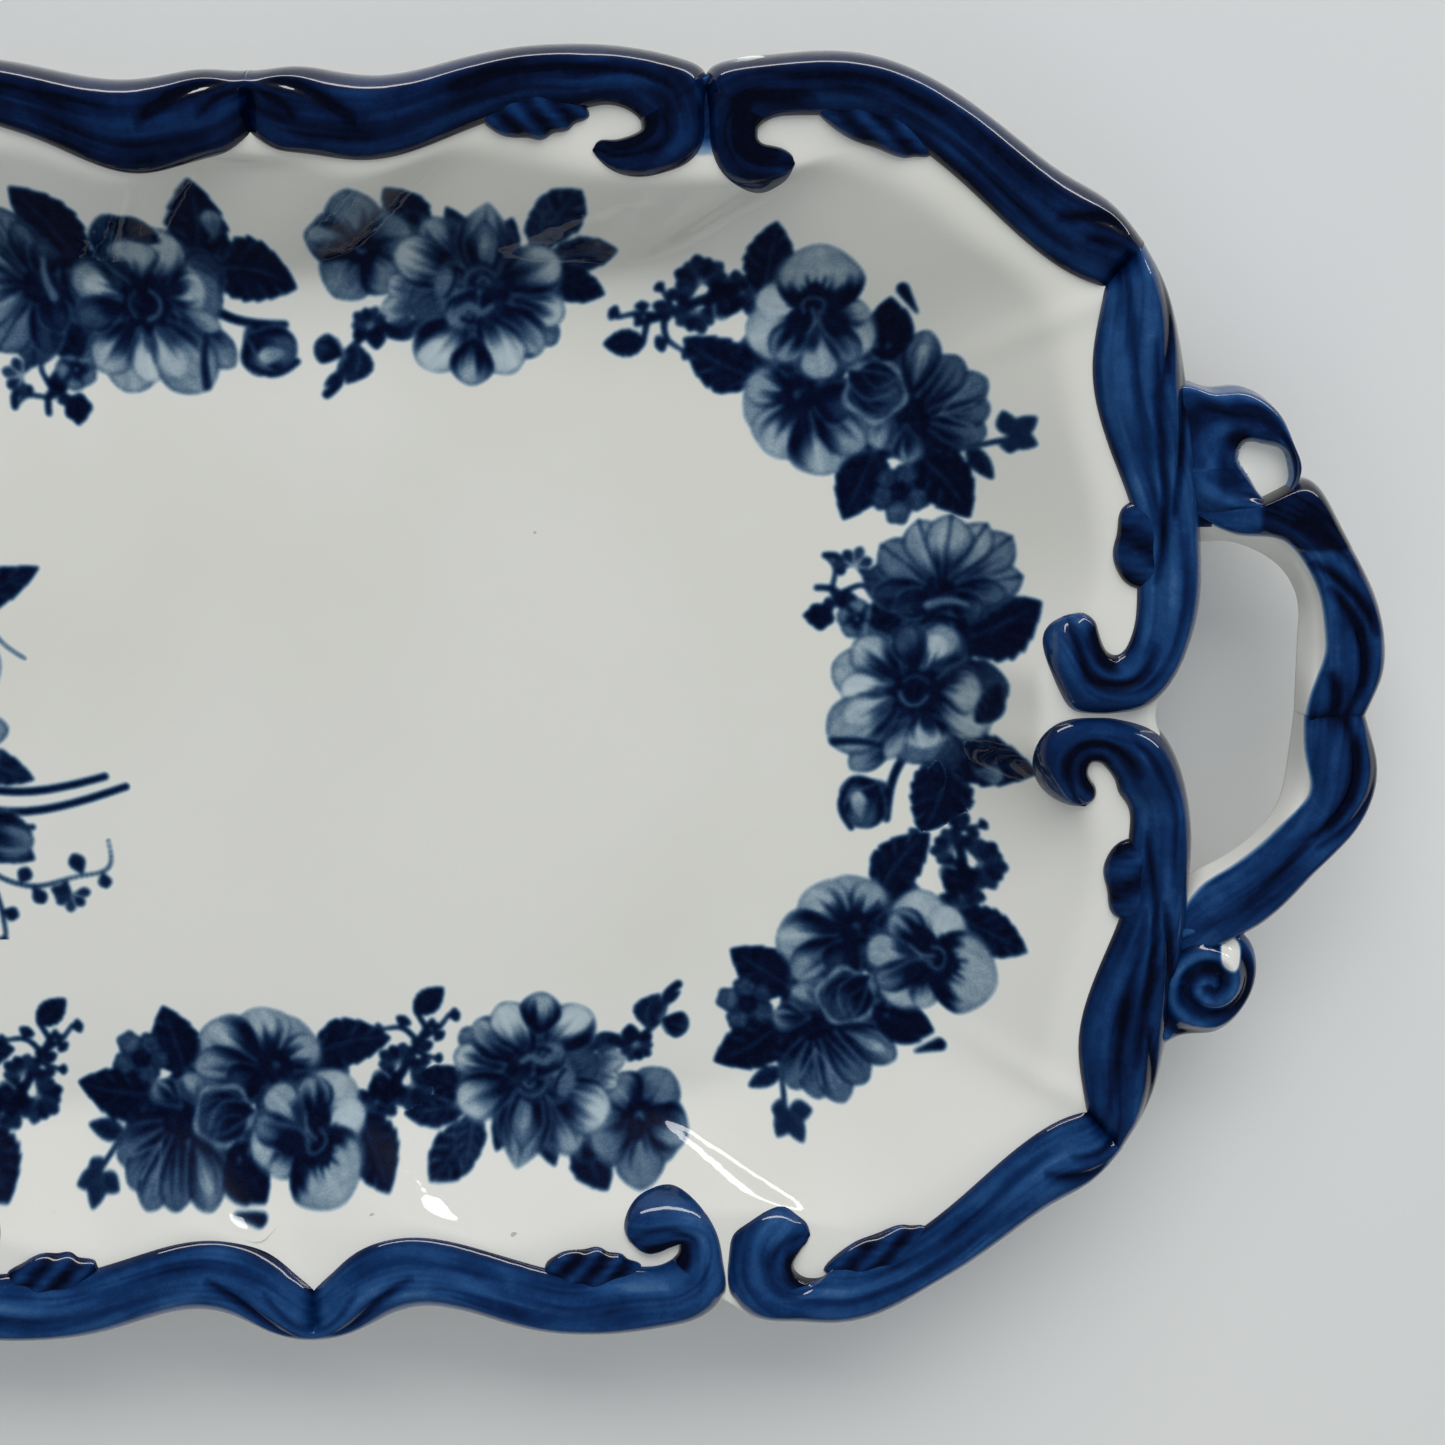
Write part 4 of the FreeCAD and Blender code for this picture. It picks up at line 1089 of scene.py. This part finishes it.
def rose_spray():
    p = Paper(24, 31, 200)
    # bud and stems
    p.stroke([(-1.6, -15), (-3.2, -18), (-4.2, -22), (-4.6, -26)], 0.75, 0.6, 0.97)
    p.spot(-8.2, -22.8, 4.3, 0.93)
    p.petal((-5, -20), (-12.6, -21.6), 2.6, 0.99, 0.7, 0.8)
    p.petal((-6, -19.8), (-9.5, -27.4), 3.4, 0.98, 0.72, 0.9)
    p.petal((-9.0, -26), (-9.6, -21), 1.5, 0.4, 0.26, 0.35)
    p.stroke([(-10.6, -27.4), (-12.4, -23.6), (-10.4, -19.2)], 0.5, 0.4, 0.97)
    # leaves
    p.leaf((4.8, -14.5), (1.0, -28.6), 5.2, 0.98, 0.30, teeth=7, bend=1.6)
    p.leaf((4, -12.8), (19.2, -15.4), 4.9, 0.98, 0.30, teeth=6, bend=-0.6)
    p.petal((9.5, -17), (14.4, -17.2), 1.9, 0.6, 0.42, 0.6)
    p.leaf((6, 4.4), (19.8, 12.6), 5.0, 0.99, 0.28, teeth=7, bend=-0.6)
    # sprig at the upper left
    p.sprig([(-6, 9), (-11, 10), (-13.6, 13), (-13.2, 17), (-15, 19.2)],
        [(0.28, 100, 3.0), (0.45, 195, 2.4)], 1.4)
    p.stroke([(-14.8, 19.2), (-12.8, 18.8), (-12.2, 16.6)], 0.5, 0.8, 0.95)
    p.stroke([(-16.2, 13.8), (-13.4, 13.4), (-10.6, 10)], 0.5, 0.5, 0.95)
    p.feather(-10, 17.2, 3.6, 70, 5, 0.88)
    p.spot(-15.6, 9, 2.2, 0.97)
    p.leaf((-14, 9), (-18.6, 9.2), 1.4, 0.97, 0.1)
    p.spot(-11.6, 11.8, 1.7, 0.98)
    p.stroke([(-11, 13.4), (-8.4, 14), (-7, 12)], 0.4, 0.3, 0.92)
    p.blossom(-9.4, 8.4, 3.6, 5, 20, pale=0.55, heart=0.3, wide=0.8)
    p.blossom(-4.6, 7.4, 3.2, 5, 50, pale=0.6, heart=0.34, wide=0.8)
    p.blossom(-1.4, 8.2, 3.0, 5, 10, pale=0.5, heart=0.3, wide=0.8)
    # fan flower
    p.spot(3.5, 11, 7.5, 0.97)
    p.spot(-4, 9, 3.5, 0.95)
    for tip, width, pale in (((-8.4, 15.2), 3.6, 0.80), ((-5.6, 20.8), 3.7, 0.55), ((0.6, 24.8), 3.7, 0.42),
                             ((16.9, 16.4), 3.2, 0.52), ((15.2, 22.8), 3.7, 0.50), ((11.4, 24.6), 3.1, 0.38),
                             ((6.0, 25.8), 3.8, 0.36)):
        p.petal((4.2, 12.6), tip, width, 0.97, pale, 0.97, widest=0.72, blunt=0.7, reach=0.42)
        p.stroke([(4.4 + 0.25 * (tip[0] - 4.4), 13 + 0.25 * (tip[1] - 13)), tip], 0.16, 0.22, 0.93)
    for tip, width, pale in (((-6.8, 12.6), 2.8, 0.85), ((-3.2, 10.0), 2.4, 0.9), ((14.6, 13.4), 2.5, 0.6),
                             ((11, 9.6), 2.4, 0.7)):
        p.petal((4.6, 12.4), tip, width, 0.98, pale, 0.95, reach=0.6)
    p.spot(4.0, 12.4, 3.0, 0.96)
    p.stroke([(2.2, 10.6), (5, 11.4), (8.4, 11)], 0.8, 0.5, 0.5)
    p.stroke([(0, 9.8), (2.0, 9.2), (4.6, 9.8)], 0.4, 0.3, 0.96)
    p.stroke([(4.4, 9.2), (7, 8.2), (8.0, 5.2)], 0.35, 0.4, 0.45)
    # rose: a dark ground, then outer petals first
    p.spot(0.5, -3.5, 9.5, 0.95)
    p.spot(4.5, 4.5, 5.0, 0.97)
    p.spot(5, -13, 4.5, 0.98)
    p.petal((-2, -3), (-13.8, 0.6), 4.6, 0.95, 0.36, 0.86, reach=0.42)
    p.petal((-2, -2), (-10, 4.8), 4.0, 0.95, 0.34, 0.88, reach=0.45)
    p.petal((-3, -3), (-12.6, -3.6), 3.1, 0.75, 0.22, 0.6, reach=0.35)
    p.petal((-1, -9), (-10.8, -17.2), 3.0, 0.95, 0.50, 0.85)
    p.petal((-2, -5), (-14.2, -12.6), 5.2, 0.92, 0.42, 0.85, reach=0.4)
    p.petal((-2.5, -4.5), (-12, -8.6), 3.0, 0.7, 0.30, 0.45, reach=0.4)
    p.stroke([(-13.6, -12.4), (-8, -12.6), (-4.5, -13.6)], 0.7, 0.4, 0.93)
    p.petal((3, -3), (14.6, -1.2), 4.3, 0.95, 0.80, 0.95)
    p.petal((2, -4), (11.6, -9.6), 4.7, 0.93, 0.30, 0.9, reach=0.45)
    p.petal((3, -3), (10.8, -3.6), 4.1, 0.85, 0.34, 0.88, reach=0.4)
    p.leaf((9.8, -8.4), (13.0, -0.6), 1.8, 0.96, 0.4, bend=-0.8)
    p.petal((1, -9), (6.6, -16.6), 3.6, 0.7, 0.85, 0.97)
    p.petal((0.5, -7), (1.0, -16.6), 4.9, 0.95, 0.62, 0.95, reach=0.3)
    p.petal((1.2, -7), (2.4, -13.8), 3.9, 0.93, 0.30, 0.32, reach=0.5)
    p.petal((-1, -10), (-4.8, -15.6), 1.6, 0.5, 0.38, 0.6)
    p.petal((1.5, -1), (6.0, 7.2), 3.8, 0.96, 0.45, 0.92, reach=0.4)
    p.petal((1.8, -0.6), (4.4, 5.8), 2.4, 0.8, 0.27, 0.4, reach=0.4)
    p.petal((0.4, -1), (-1.6, 7.4), 2.9, 0.96, 0.72, 0.95, reach=0.5)
    # heart
    p.spot(0.4, -4, 3.5, 0.95)
    for n in range(9):
        a = math.radians(20 + 40 * n)
        tip = (0.4 + 5.6 * math.cos(a), -4 + 4.6 * math.sin(a))
        p.leaf((0.4, -4), tip, 1.1, 0.98, 0.1, widest=0.5)
    p.stroke([(-2.4, -4.2), (-1.4, -6.0), (0.8, -6.2), (2.2, -4.8)], 0.4, 0.3, 0.55)
    p.stroke([(-1.8, -2.2), (0.4, -1.4), (2.4, -2.6)], 0.3, 0.25, 0.7)
    p.spot(0.3, -3.8, 1.2, 1.0)
    return p


def pansy_spray():
    p = Paper(38, 27, 300)
    # feathery sprig at the left
    p.stroke([(-9, 10), (-14, 12.4), (-20, 11.4), (-26, 9.2), (-29, 8.4)], 1.1, 0.5, 0.95)
    p.leaf((-27.6, 5.4), (-34.6, 5.2), 2.2, 0.97, 0.12)
    p.stroke([(-28, 5.6), (-27.2, 9.4)], 0.4, 0.5, 0.95)
    p.sprig([(-24, 9.2), (-29, 10), (-32, 9.4)],
        [(0.95, 150, 2.2), (0.5, 95, 2.0), (0.5, 215, 1.6), (0.15, 85, 2.6)], 1.5)
    p.sprig([(-22.6, 9.6), (-24.8, 13.8)], [(0.5, 60, 2.4), (0.9, 130, 1.8)], 1.3)
    p.sprig([(-24.6, 9), (-24.2, 6), (-22, 4.2)], [(0.6, 200, 2.4), (1.0, -30, 2.0)], 1.6)
    p.feather(-18.4, 14.6, 4.8, 100, 9, 0.97)
    p.feather(-19.4, 10.4, 4.0, 250, 7, 0.96)
    p.feather(-12.6, 12.6, 4.2, 60, 7, 0.96)
    p.spot(-15, 12, 3.0, 0.97)
    p.stroke([(-16.4, 11.2), (-16.2, 9.4), (-14.6, 9.2)], 0.35, 0.3, 0.5)
    # leaves
    p.leaf((-8.6, -0.6), (-21.6, 6.0), 4.3, 0.97, 0.28, bend=1.1)
    p.leaf((-14, -0.5), (-17, -2.6), 1.6, 0.97, 0.2)
    p.leaf((-8.6, 12.4), (-6.4, 24.4), 4.1, 0.98, 0.26, teeth=7)
    p.leaf((10, -11.5), (4.2, -24), 4.3, 0.98, 0.22, teeth=6)
    p.leaf((15, -12.5), (24.8, -23.6), 4.7, 0.99, 0.26, teeth=6, bend=1.0)
    p.leaf((24, -11.6), (28.2, -17), 1.5, 0.93, 0.2)
    p.stroke([(22, -12.6), (26, -11.4), (29.5, -10.4)], 0.4, 0.4, 0.92)
    for tip in ((29.2, -5.6), (34.4, -6.4), (34.6, -11), (30.6, -12.6)):
        p.leaf((30.4, -9.6), tip, 1.5, 0.86, 0.25)
    # small flower at the foot
    for x, y in ((11.4, -17.4), (14.6, -16.8), (16.4, -20.6), (10.6, -20.4)):
        p.spot(x, y, 2.0, 0.72, 0.97)
    p.spot(13.2, -22.8, 2.1, 0.62, 0.95)
    p.spot(13.6, -19.4, 1.7, 0.98)
    # dark ground under the flowers
    for x, y, r in ((0, 5, 6.5), (5, -7, 6), (-3, -4, 6.5), (13, -8, 6.5), (13, -1, 5), (10, 3, 5),
        (-8, 4, 4.5),
                    (20, -10, 4), (19, -3, 4.5)):
        p.spot(x, y, r, 0.94)
    # fan of petals at the right
    for tip, width, pale in (((27.0, -9.6), 2.8, 0.62), ((27.4, -5.0), 3.0, 0.6), ((26.8, -0.6), 3.0, 0.6),
                             ((22.6, 2.8), 3.2, 0.66)):
        p.petal((15.6, -7.6), tip, width, 0.98, pale, 0.9, widest=0.72)
    for tip in ((24.8, -8.4), (25, -4.8), (24.0, -1.6)):
        p.stroke([(19.6, -6.6), tip], 0.15, 0.3, 0.42)
    p.petal((15, -4.4), (17.6, 7.0), 3.0, 0.95, 0.55, 0.93)
    p.petal((15.6, -2.4), (17, 5.0), 1.3, 0.6, 0.32, 0.4)
    p.spot(14.6, -7.6, 3.6, 0.98)
    p.petal((12, -6.6), (9.4, -12.4), 2.6, 0.7, 0.42, 0.5)
    p.petal((14.4, -9), (15.0, -15), 2.2, 0.9, 0.45, 0.6)
    # dark bud with a curl
    p.leaf((11.2, 1.6), (11.6, 12.4), 3.8, 1.0, 0.10)
    p.leaf((13, 3), (13.8, 10.6), 1.9, 0.98, 0.1)
    p.stroke([(13.4, 13.6), (14.4, 12), (15.8, 9.8)], 1.0, 0.2, 0.97)
    p.spot(11.4, 4.4, 0.5, 0.7)
    # second flower
    p.petal((-2.6, -3.6), (-11.8, -7.2), 5.2, 0.95, 0.42, 0.5, reach=0.42)
    p.petal((-2.6, -3.4), (-11.6, -1.6), 3.4, 0.95, 0.40, 0.6, reach=0.5)
    p.petal((-2.4, -4), (-7.6, -13.4), 5.4, 0.95, 0.36, 0.45, reach=0.42)
    p.petal((-1.6, -4), (1.8, -16.6), 5.2, 0.95, 0.33, 0.78, reach=0.48)
    p.petal((-1.4, -3.8), (7.6, -12.6), 3.9, 0.97, 0.45, 0.7)
    p.petal((-1.4, -3.4), (6, -5.8), 3.4, 0.98, 0.85, 0.9)
    p.spot(-3, -3.4, 3.1, 0.97)
    for n in range(11):
        a = math.radians(150 + 23 * n)
        p.stroke([(-2.8, -3.6), (-2.8 + 6.2 * math.cos(a), -3.6 + 6.2 * math.sin(a))], 0.5, 0.1, 0.97)
    p.spot(-3.2, -3.4, 0.7, 0.72)
    # tulip bud
    p.spot(9.4, -3, 5.2, 0.45)
    p.petal((9.4, 1.8), (9.8, -7.6), 4.5, 0.98, 0.86, 0.9, widest=0.5)
    p.petal((5.0, 0.6), (13.6, -4.4), 3.3, 0.98, 0.80, 0.6, bend=-1.3)
    p.stroke([(5.2, -1.6), (8.4, -4.4), (13.0, -2.6)], 0.2, 0.25, 0.55)
    p.stroke([(7.4, -0.4), (10, -2.4), (13.4, -0.4)], 0.15, 0.2, 0.6)
    # pansy
    p.petal((-1, 9), (-11.4, 5.4), 4.6, 0.9, 0.30, 0.55, reach=0.36)
    p.petal((-1, 9.6), (-9.8, 12.4), 3.4, 0.85, 0.26, 0.35, reach=0.36)
    p.petal((0, 8.6), (9.4, 4.6), 4.2, 0.95, 0.34, 0.6, reach=0.42)
    p.petal((1, 9.4), (8.6, 9.6), 2.6, 0.9, 0.35, 0.5)
    p.petal((-0.6, 10), (-6.6, 2.0), 3.4, 0.98, 0.42, 0.92, reach=0.6)
    p.petal((0.4, 10), (6.2, 1.4), 3.0, 0.98, 0.55, 0.92, reach=0.6)
    p.petal((0, 8.5), (0.8, -1.2), 3.6, 0.85, 0.38, 0.9, widest=0.72, reach=0.35)
    p.petal((0.2, 9), (0.6, 20.8), 7.2, 0.95, 0.36, 0.62, widest=0.5, blunt=0.6, reach=0.36)
    for n in range(15):
        a = math.radians(-34 + 17.6 * n)
        size = 5.4 - 0.9 * (n % 2) - 0.8 * abs(math.cos(a))
        p.stroke([(-0.2, 10.4), (-0.2 + size * math.cos(a), 10.8 + size * math.sin(a))], 0.9, 0.12, 0.97)
    p.spot(-0.2, 11.4, 3.0, 0.97)
    p.leaf((-0.6, 10), (-5.2, 6.6), 2.0, 0.98, 0.1)
    p.leaf((0.2, 10), (5.6, 6.4), 2.2, 0.98, 0.1)
    p.stroke([(-2.0, 9.8), (-2.2, 11.4), (-0.6, 12.2), (1.2, 11.4), (1.0, 9.8)], 0.22, 0.22, 0.48)
    p.stroke([(-0.7, 10.4), (-0.4, 8.2), (-1.6, 6.2)], 0.3, 0.2, 0.5)
    p.stroke([(0.4, 10.2), (0.6, 8), (1.8, 6)], 0.25, 0.2, 0.55)
    return p


def bouquet_spray():
    p = Paper(42, 40, 400)
    # stems
    p.stroke([(10, -12), (22, -14), (30, -13.2), (36.8, -11.6)], 0.7, 0.62, 0.98)
    p.stroke([(10, -15), (20, -17.4), (30, -16.4), (40.2, -13.4)], 0.75, 0.6, 0.98)
    p.stroke([(4, -16), (14, -20), (24, -20.2)], 0.7, 0.5, 0.97)
    # sprigs
    p.sprig([(12, -24), (18, -29), (24, -30.6), (31, -29), (36.4, -27.4), (36.6, -22.8)],
            [(0.35, 60, 3.4), (0.42, -60, 3.6), (0.62, 250, 4.6), (0.7, 110, 4.2),
                (0.8, -80, 3.0)], 1.2, 0.92)
    p.feather(29.6, -32, 3.4, 265, 5, 0.9)
    p.sprig([(14, -26), (17, -32), (18, -39)], [(0.5, 200, 3.0), (0.7, -20, 3.0), (1.0, 250, 3.0)], 1.3, 0.94)
    p.sprig([(-16, 14), (-24, 22), (-30, 24)], [(0.4, 80, 4), (0.6, 200, 4), (0.8, 90, 4), (1.0, 150, 4)],
        1.3)
    p.sprig([(-12, -18), (-22, -26), (-32, -28)],
        [(0.4, 120, 4), (0.5, 260, 4), (0.8, 130, 4), (1.0, 200, 4)], 1.3)
    p.stroke([(16, 20), (19, 15), (22, 11), (25, 8.8)], 0.35, 0.25, 0.8)
    # leaves
    p.leaf((10, 18), (28.6, 24.2), 3.4, 0.98, 0.22, bend=-0.8)
    p.leaf((-2, 18), (2, 34), 5.0, 0.98, 0.26, bend=1)
    p.leaf((-10, 14), (-20, 32), 4.8, 0.98, 0.26)
    p.leaf((-20, 4), (-37, 10), 5.0, 0.98, 0.26, bend=1)
    p.leaf((-20, -6), (-36, -14), 5.0, 0.97, 0.28)
    p.leaf((14, -16), (24, -26), 4.4, 0.95, 0.28, bend=-1.6)
    p.leaf((12, -7), (25, -12), 3.2, 0.92, 0.28)
    p.leaf((0, -16), (-4, -33), 5.0, 0.98, 0.26)
    p.petal((12, -20), (24, -23), 4.2, 0.95, 0.55, 0.9)
    # flowers on a dark ground
    for x, y, r in ((-14, 8, 9), (8, 8, 9), (-2, -10, 9), (-3, 4, 8), (10, -3, 6)):
        p.spot(x, y, r, 0.94)
    for turn in range(0, 360, 60):
        a = math.radians(turn + 15)
        p.petal((-14, 8), (-14 + 14 * math.cos(a), 8 + 14 * math.sin(a)), 6.2, 0.96, 0.32, 0.72)
    for turn in range(0, 360, 72):
        a = math.radians(turn + 40)
        p.petal((-14, 8), (-14 + 8 * math.cos(a), 8 + 8 * math.sin(a)), 3.6, 0.97, 0.45, 0.85)
    p.spot(-14, 8, 2.6, 0.97)
    for turn in range(0, 360, 72):
        a = math.radians(turn)
        p.petal((8, 8), (8 + 13 * math.cos(a), 8 + 13 * math.sin(a)), 6.6, 0.95, 0.34, 0.7)
    p.spot(8, 8, 3.6, 0.97)
    for n in range(14):
        a = TAU * n / 14
        p.stroke([(8, 8), (8 + 6.5 * math.cos(a), 8 + 6.5 * math.sin(a))], 0.7, 0.12, 0.97)
    for turn in range(0, 360, 60):
        a = math.radians(turn + 30)
        p.petal((-2, -10), (-2 + 13 * math.cos(a), -10 + 13 * math.sin(a)), 5.8, 0.96, 0.36, 0.78)
    for turn in range(0, 360, 90):
        a = math.radians(turn + 10)
        p.petal((-2, -10), (-2 + 7.4 * math.cos(a), -10 + 7.4 * math.sin(a)), 3.8, 0.97, 0.5, 0.85)
    p.spot(-2, -10, 2.2, 0.98)
    p.blossom(15, -4, 6.2, 5, 10)
    p.blossom(-24, -4, 6.4, 5, 50)
    p.blossom(-4, 20, 6, 5, 100)
    return p


SPRAYS = {"peony": peony_spray, "rose": rose_spray, "pansy": pansy_spray, "bouquet": bouquet_spray}
# Name, kind, middle in mm and turn in degrees of each print.
PRINTS = (
    ("bouquet_centre", "bouquet", 0, 0, 0),
    ("pansy_top_centre", "pansy", -15, 68, 40),
    ("rose_top_right", "rose", 45, 66.3, 93),
    ("peony_top_right", "peony", 102, 68, 0),
    ("pansy_corner_top_right", "pansy", 157, 54, 0),
    ("rose_end_right", "rose", 173, 5, 0),
    ("pansy_corner_bottom_right", "pansy", 166, -43.6, -100),
    ("peony_bottom_right", "peony", 108, -66, 180),
    ("pansy_bottom_right", "pansy", 62.5, -68, -140),
    ("pansy_bottom_centre", "pansy", -2.5, -69, -140),
    ("rose_bottom_left", "rose", -68, -66.3, -87),
    ("pansy_corner_bottom_left", "pansy", -150, -56, 180),
    ("rose_end_left", "rose", -173, -5, 180),
    ("pansy_corner_top_left", "pansy", -167, 43, 80),
    ("rose_top_left", "rose", -117, 66.3, 93),
    ("peony_top_left", "peony", -67, 68, 0),
)


def turned(x, y, degrees):
    c, s = math.cos(math.radians(degrees)), math.sin(math.radians(degrees))
    return x * c - y * s, x * s + y * c


def ink_at(sheet, at, x, y):
    """Ink that a spray placed at (x, y, turn) carries at points of the dish; less than 0 off its sheet."""
    lx, ly = turned(x - at[0], y - at[1], -at[2])
    j = np.rint((lx - sheet.x[0, 0]) / sheet.STEP).astype(int)
    i = np.rint((ly - sheet.y[0, 0]) / sheet.STEP).astype(int)
    rows, cols = sheet.fired.shape
    on = (i >= 0) & (i < rows) & (j >= 0) & (j < cols)
    found = sheet.near[np.clip(i, 0, rows - 1), np.clip(j, 0, cols - 1)]
    return np.where(on, found, -1)


def dish_normal(x, y, step=0.4):
    dx = (dish_z(x + step, y) - dish_z(x - step, y)) / (2 * step)
    dy = (dish_z(x, y + step) - dish_z(x, y - step)) / (2 * step)
    normal = np.column_stack([-dx, -dy, np.ones(len(x))])
    return normal / np.linalg.norm(normal, axis=1)[:, None]


def print_mesh(name, sheet, at, others, layer):
    """One spray laid on the dish: the squares of its sheet that carry ink, less those that a
    neighbour inks more strongly. Its edges sink into the glaze and its normals are the dish's own."""
    px, py = turned(sheet.x, sheet.y, at[2])
    px, py = px + at[0], py + at[1]
    mine = sheet.near > 0.02
    for other, place_of_other in others:
        mine &= sheet.near >= ink_at(other, place_of_other, px, py)
    i, j = np.nonzero(mine[:-1, :-1] | mine[1:, :-1] | mine[:-1, 1:] | mine[1:, 1:])
    cols = sheet.x.shape[1]
    corner = i * cols + j
    quads = np.stack([corner, corner + 1, corner + cols + 1, corner + cols], -1)
    used, faces = np.unique(quads, return_inverse=True)
    px, py = px.ravel()[used], py.ravel()[used]
    lift = -0.02 + (0.08 + 0.006 * layer) * smooth(sheet.near.ravel()[used], 0.02, 0.35)
    points = np.column_stack([px, py, dish_z(px, py) + lift])
    obj = make_mesh(name, points, faces.reshape(-1, 4), [GLAZE_PRINT], ink=sheet.fired.ravel()[used])
    obj.data.normals_split_custom_set_from_vertices(dish_normal(px, py).tolist())
    return obj


def make_prints():
    sheets = {}
    for kind, paint in SPRAYS.items():
        sheet = paint()
        sheet.fired = sheet.finished()
        sheet.near = np.maximum(sheet.fired, blur((sheet.fired > 0.05).astype(float), 3.5) * 0.35)
        sheets[kind] = sheet
    for layer, (name, kind, *at) in enumerate(PRINTS):
        others = [(sheets[k], o) for n, k, *o in PRINTS if n != name and math.dist(at[:2], o[:2]) < 75]
        obj = print_mesh(f"spray_{name}", sheets[kind], at, others, layer)
        place(obj, "transfer_blue", f"print_{name}")


make_dish()
make_foot()
make_border()
make_tufts()
make_bows()
make_volutes()
make_prints()

# ---------------------------------------------------------------- camera, light and stage


def set_camera():
    """Looks down on the right-hand part of the platter, leaning a little from its far side."""
    data = bpy.data.cameras.new("camera")
    data.sensor_width = 36
    data.lens = 36 * 2400 / 1445
    data.clip_start, data.clip_end = 0.01, 50
    camera = bpy.data.objects.new("camera", data)
    bpy.context.scene.collection.objects.link(camera)
    right = np.array([0.99989, -0.01443, 0.00326])
    up = np.array([0.0148, 0.9753, -0.22037])
    back = np.array([0.0, 0.2204, 0.97541])
    turn = Matrix(np.column_stack([right, up, back]).tolist()).to_4x4()
    camera.matrix_world = Matrix.Translation((0.14088, 0.08478, 0.3988)) @ turn
    bpy.context.scene.camera = camera


def area_light(name, place_m, target_m, width, height, watts, colour=(1, 1, 1)):
    data = bpy.data.lights.new(name, "AREA")
    data.shape = "RECTANGLE"
    data.size, data.size_y = width, height
    data.energy = watts
    data.color = colour
    light = bpy.data.objects.new(name, data)
    bpy.context.scene.collection.objects.link(light)
    away = Vector(place_m) - Vector(target_m)
    light.rotation_mode = "QUATERNION"
    light.rotation_quaternion = away.to_track_quat("Z", "Y")
    light.location = place_m
    return light


def make_stage():
    size, cuts = 3.0, 24
    line = np.linspace(-size, size, cuts)
    x, y = np.meshgrid(line, line, indexing="ij")
    points = np.dstack([x, y, np.zeros_like(x)]).reshape(-1, 3) / MM
    floor = make_mesh("studio_floor", points, grid_faces(cuts, cuts), [table_top("studio_floor")])
    world = bpy.data.worlds.new("studio")
    bpy.context.scene.world = world
    world.use_nodes = True
    bpy.context.scene.view_settings.view_transform = "Standard"
    back = world.node_tree.nodes["Background"]
    back.inputs["Color"].default_value = (0.80, 0.87, 1.0, 1)
    back.inputs["Strength"].default_value = 0.07
    fill = area_light("ceiling", (0.1, -0.1, 2.2), (0.1, 0, 0), 4.0, 4.0, 30, (0.88, 0.94, 1.0))
    fill.visible_glossy = False
    key = area_light("window", (0.3, 1.7, 1.3), (0.1, 0, 0), 2.6, 1.1, 39, (1.0, 0.98, 0.95))
    key.visible_glossy = False
    bounce = area_light("bounce", (0.1, -1.4, 0.9), (0.1, 0, 0), 2.0, 1.0, 4, (1.0, 0.92, 0.76))
    bounce.visible_glossy = False
    gleam = area_light("gleam", (0.4, 1.6, 0.16), (0.1, 0, 0.02), 3.6, 0.26, 38, (1.0, 0.98, 0.96))
    gleam.visible_diffuse = False


set_camera()
make_stage()
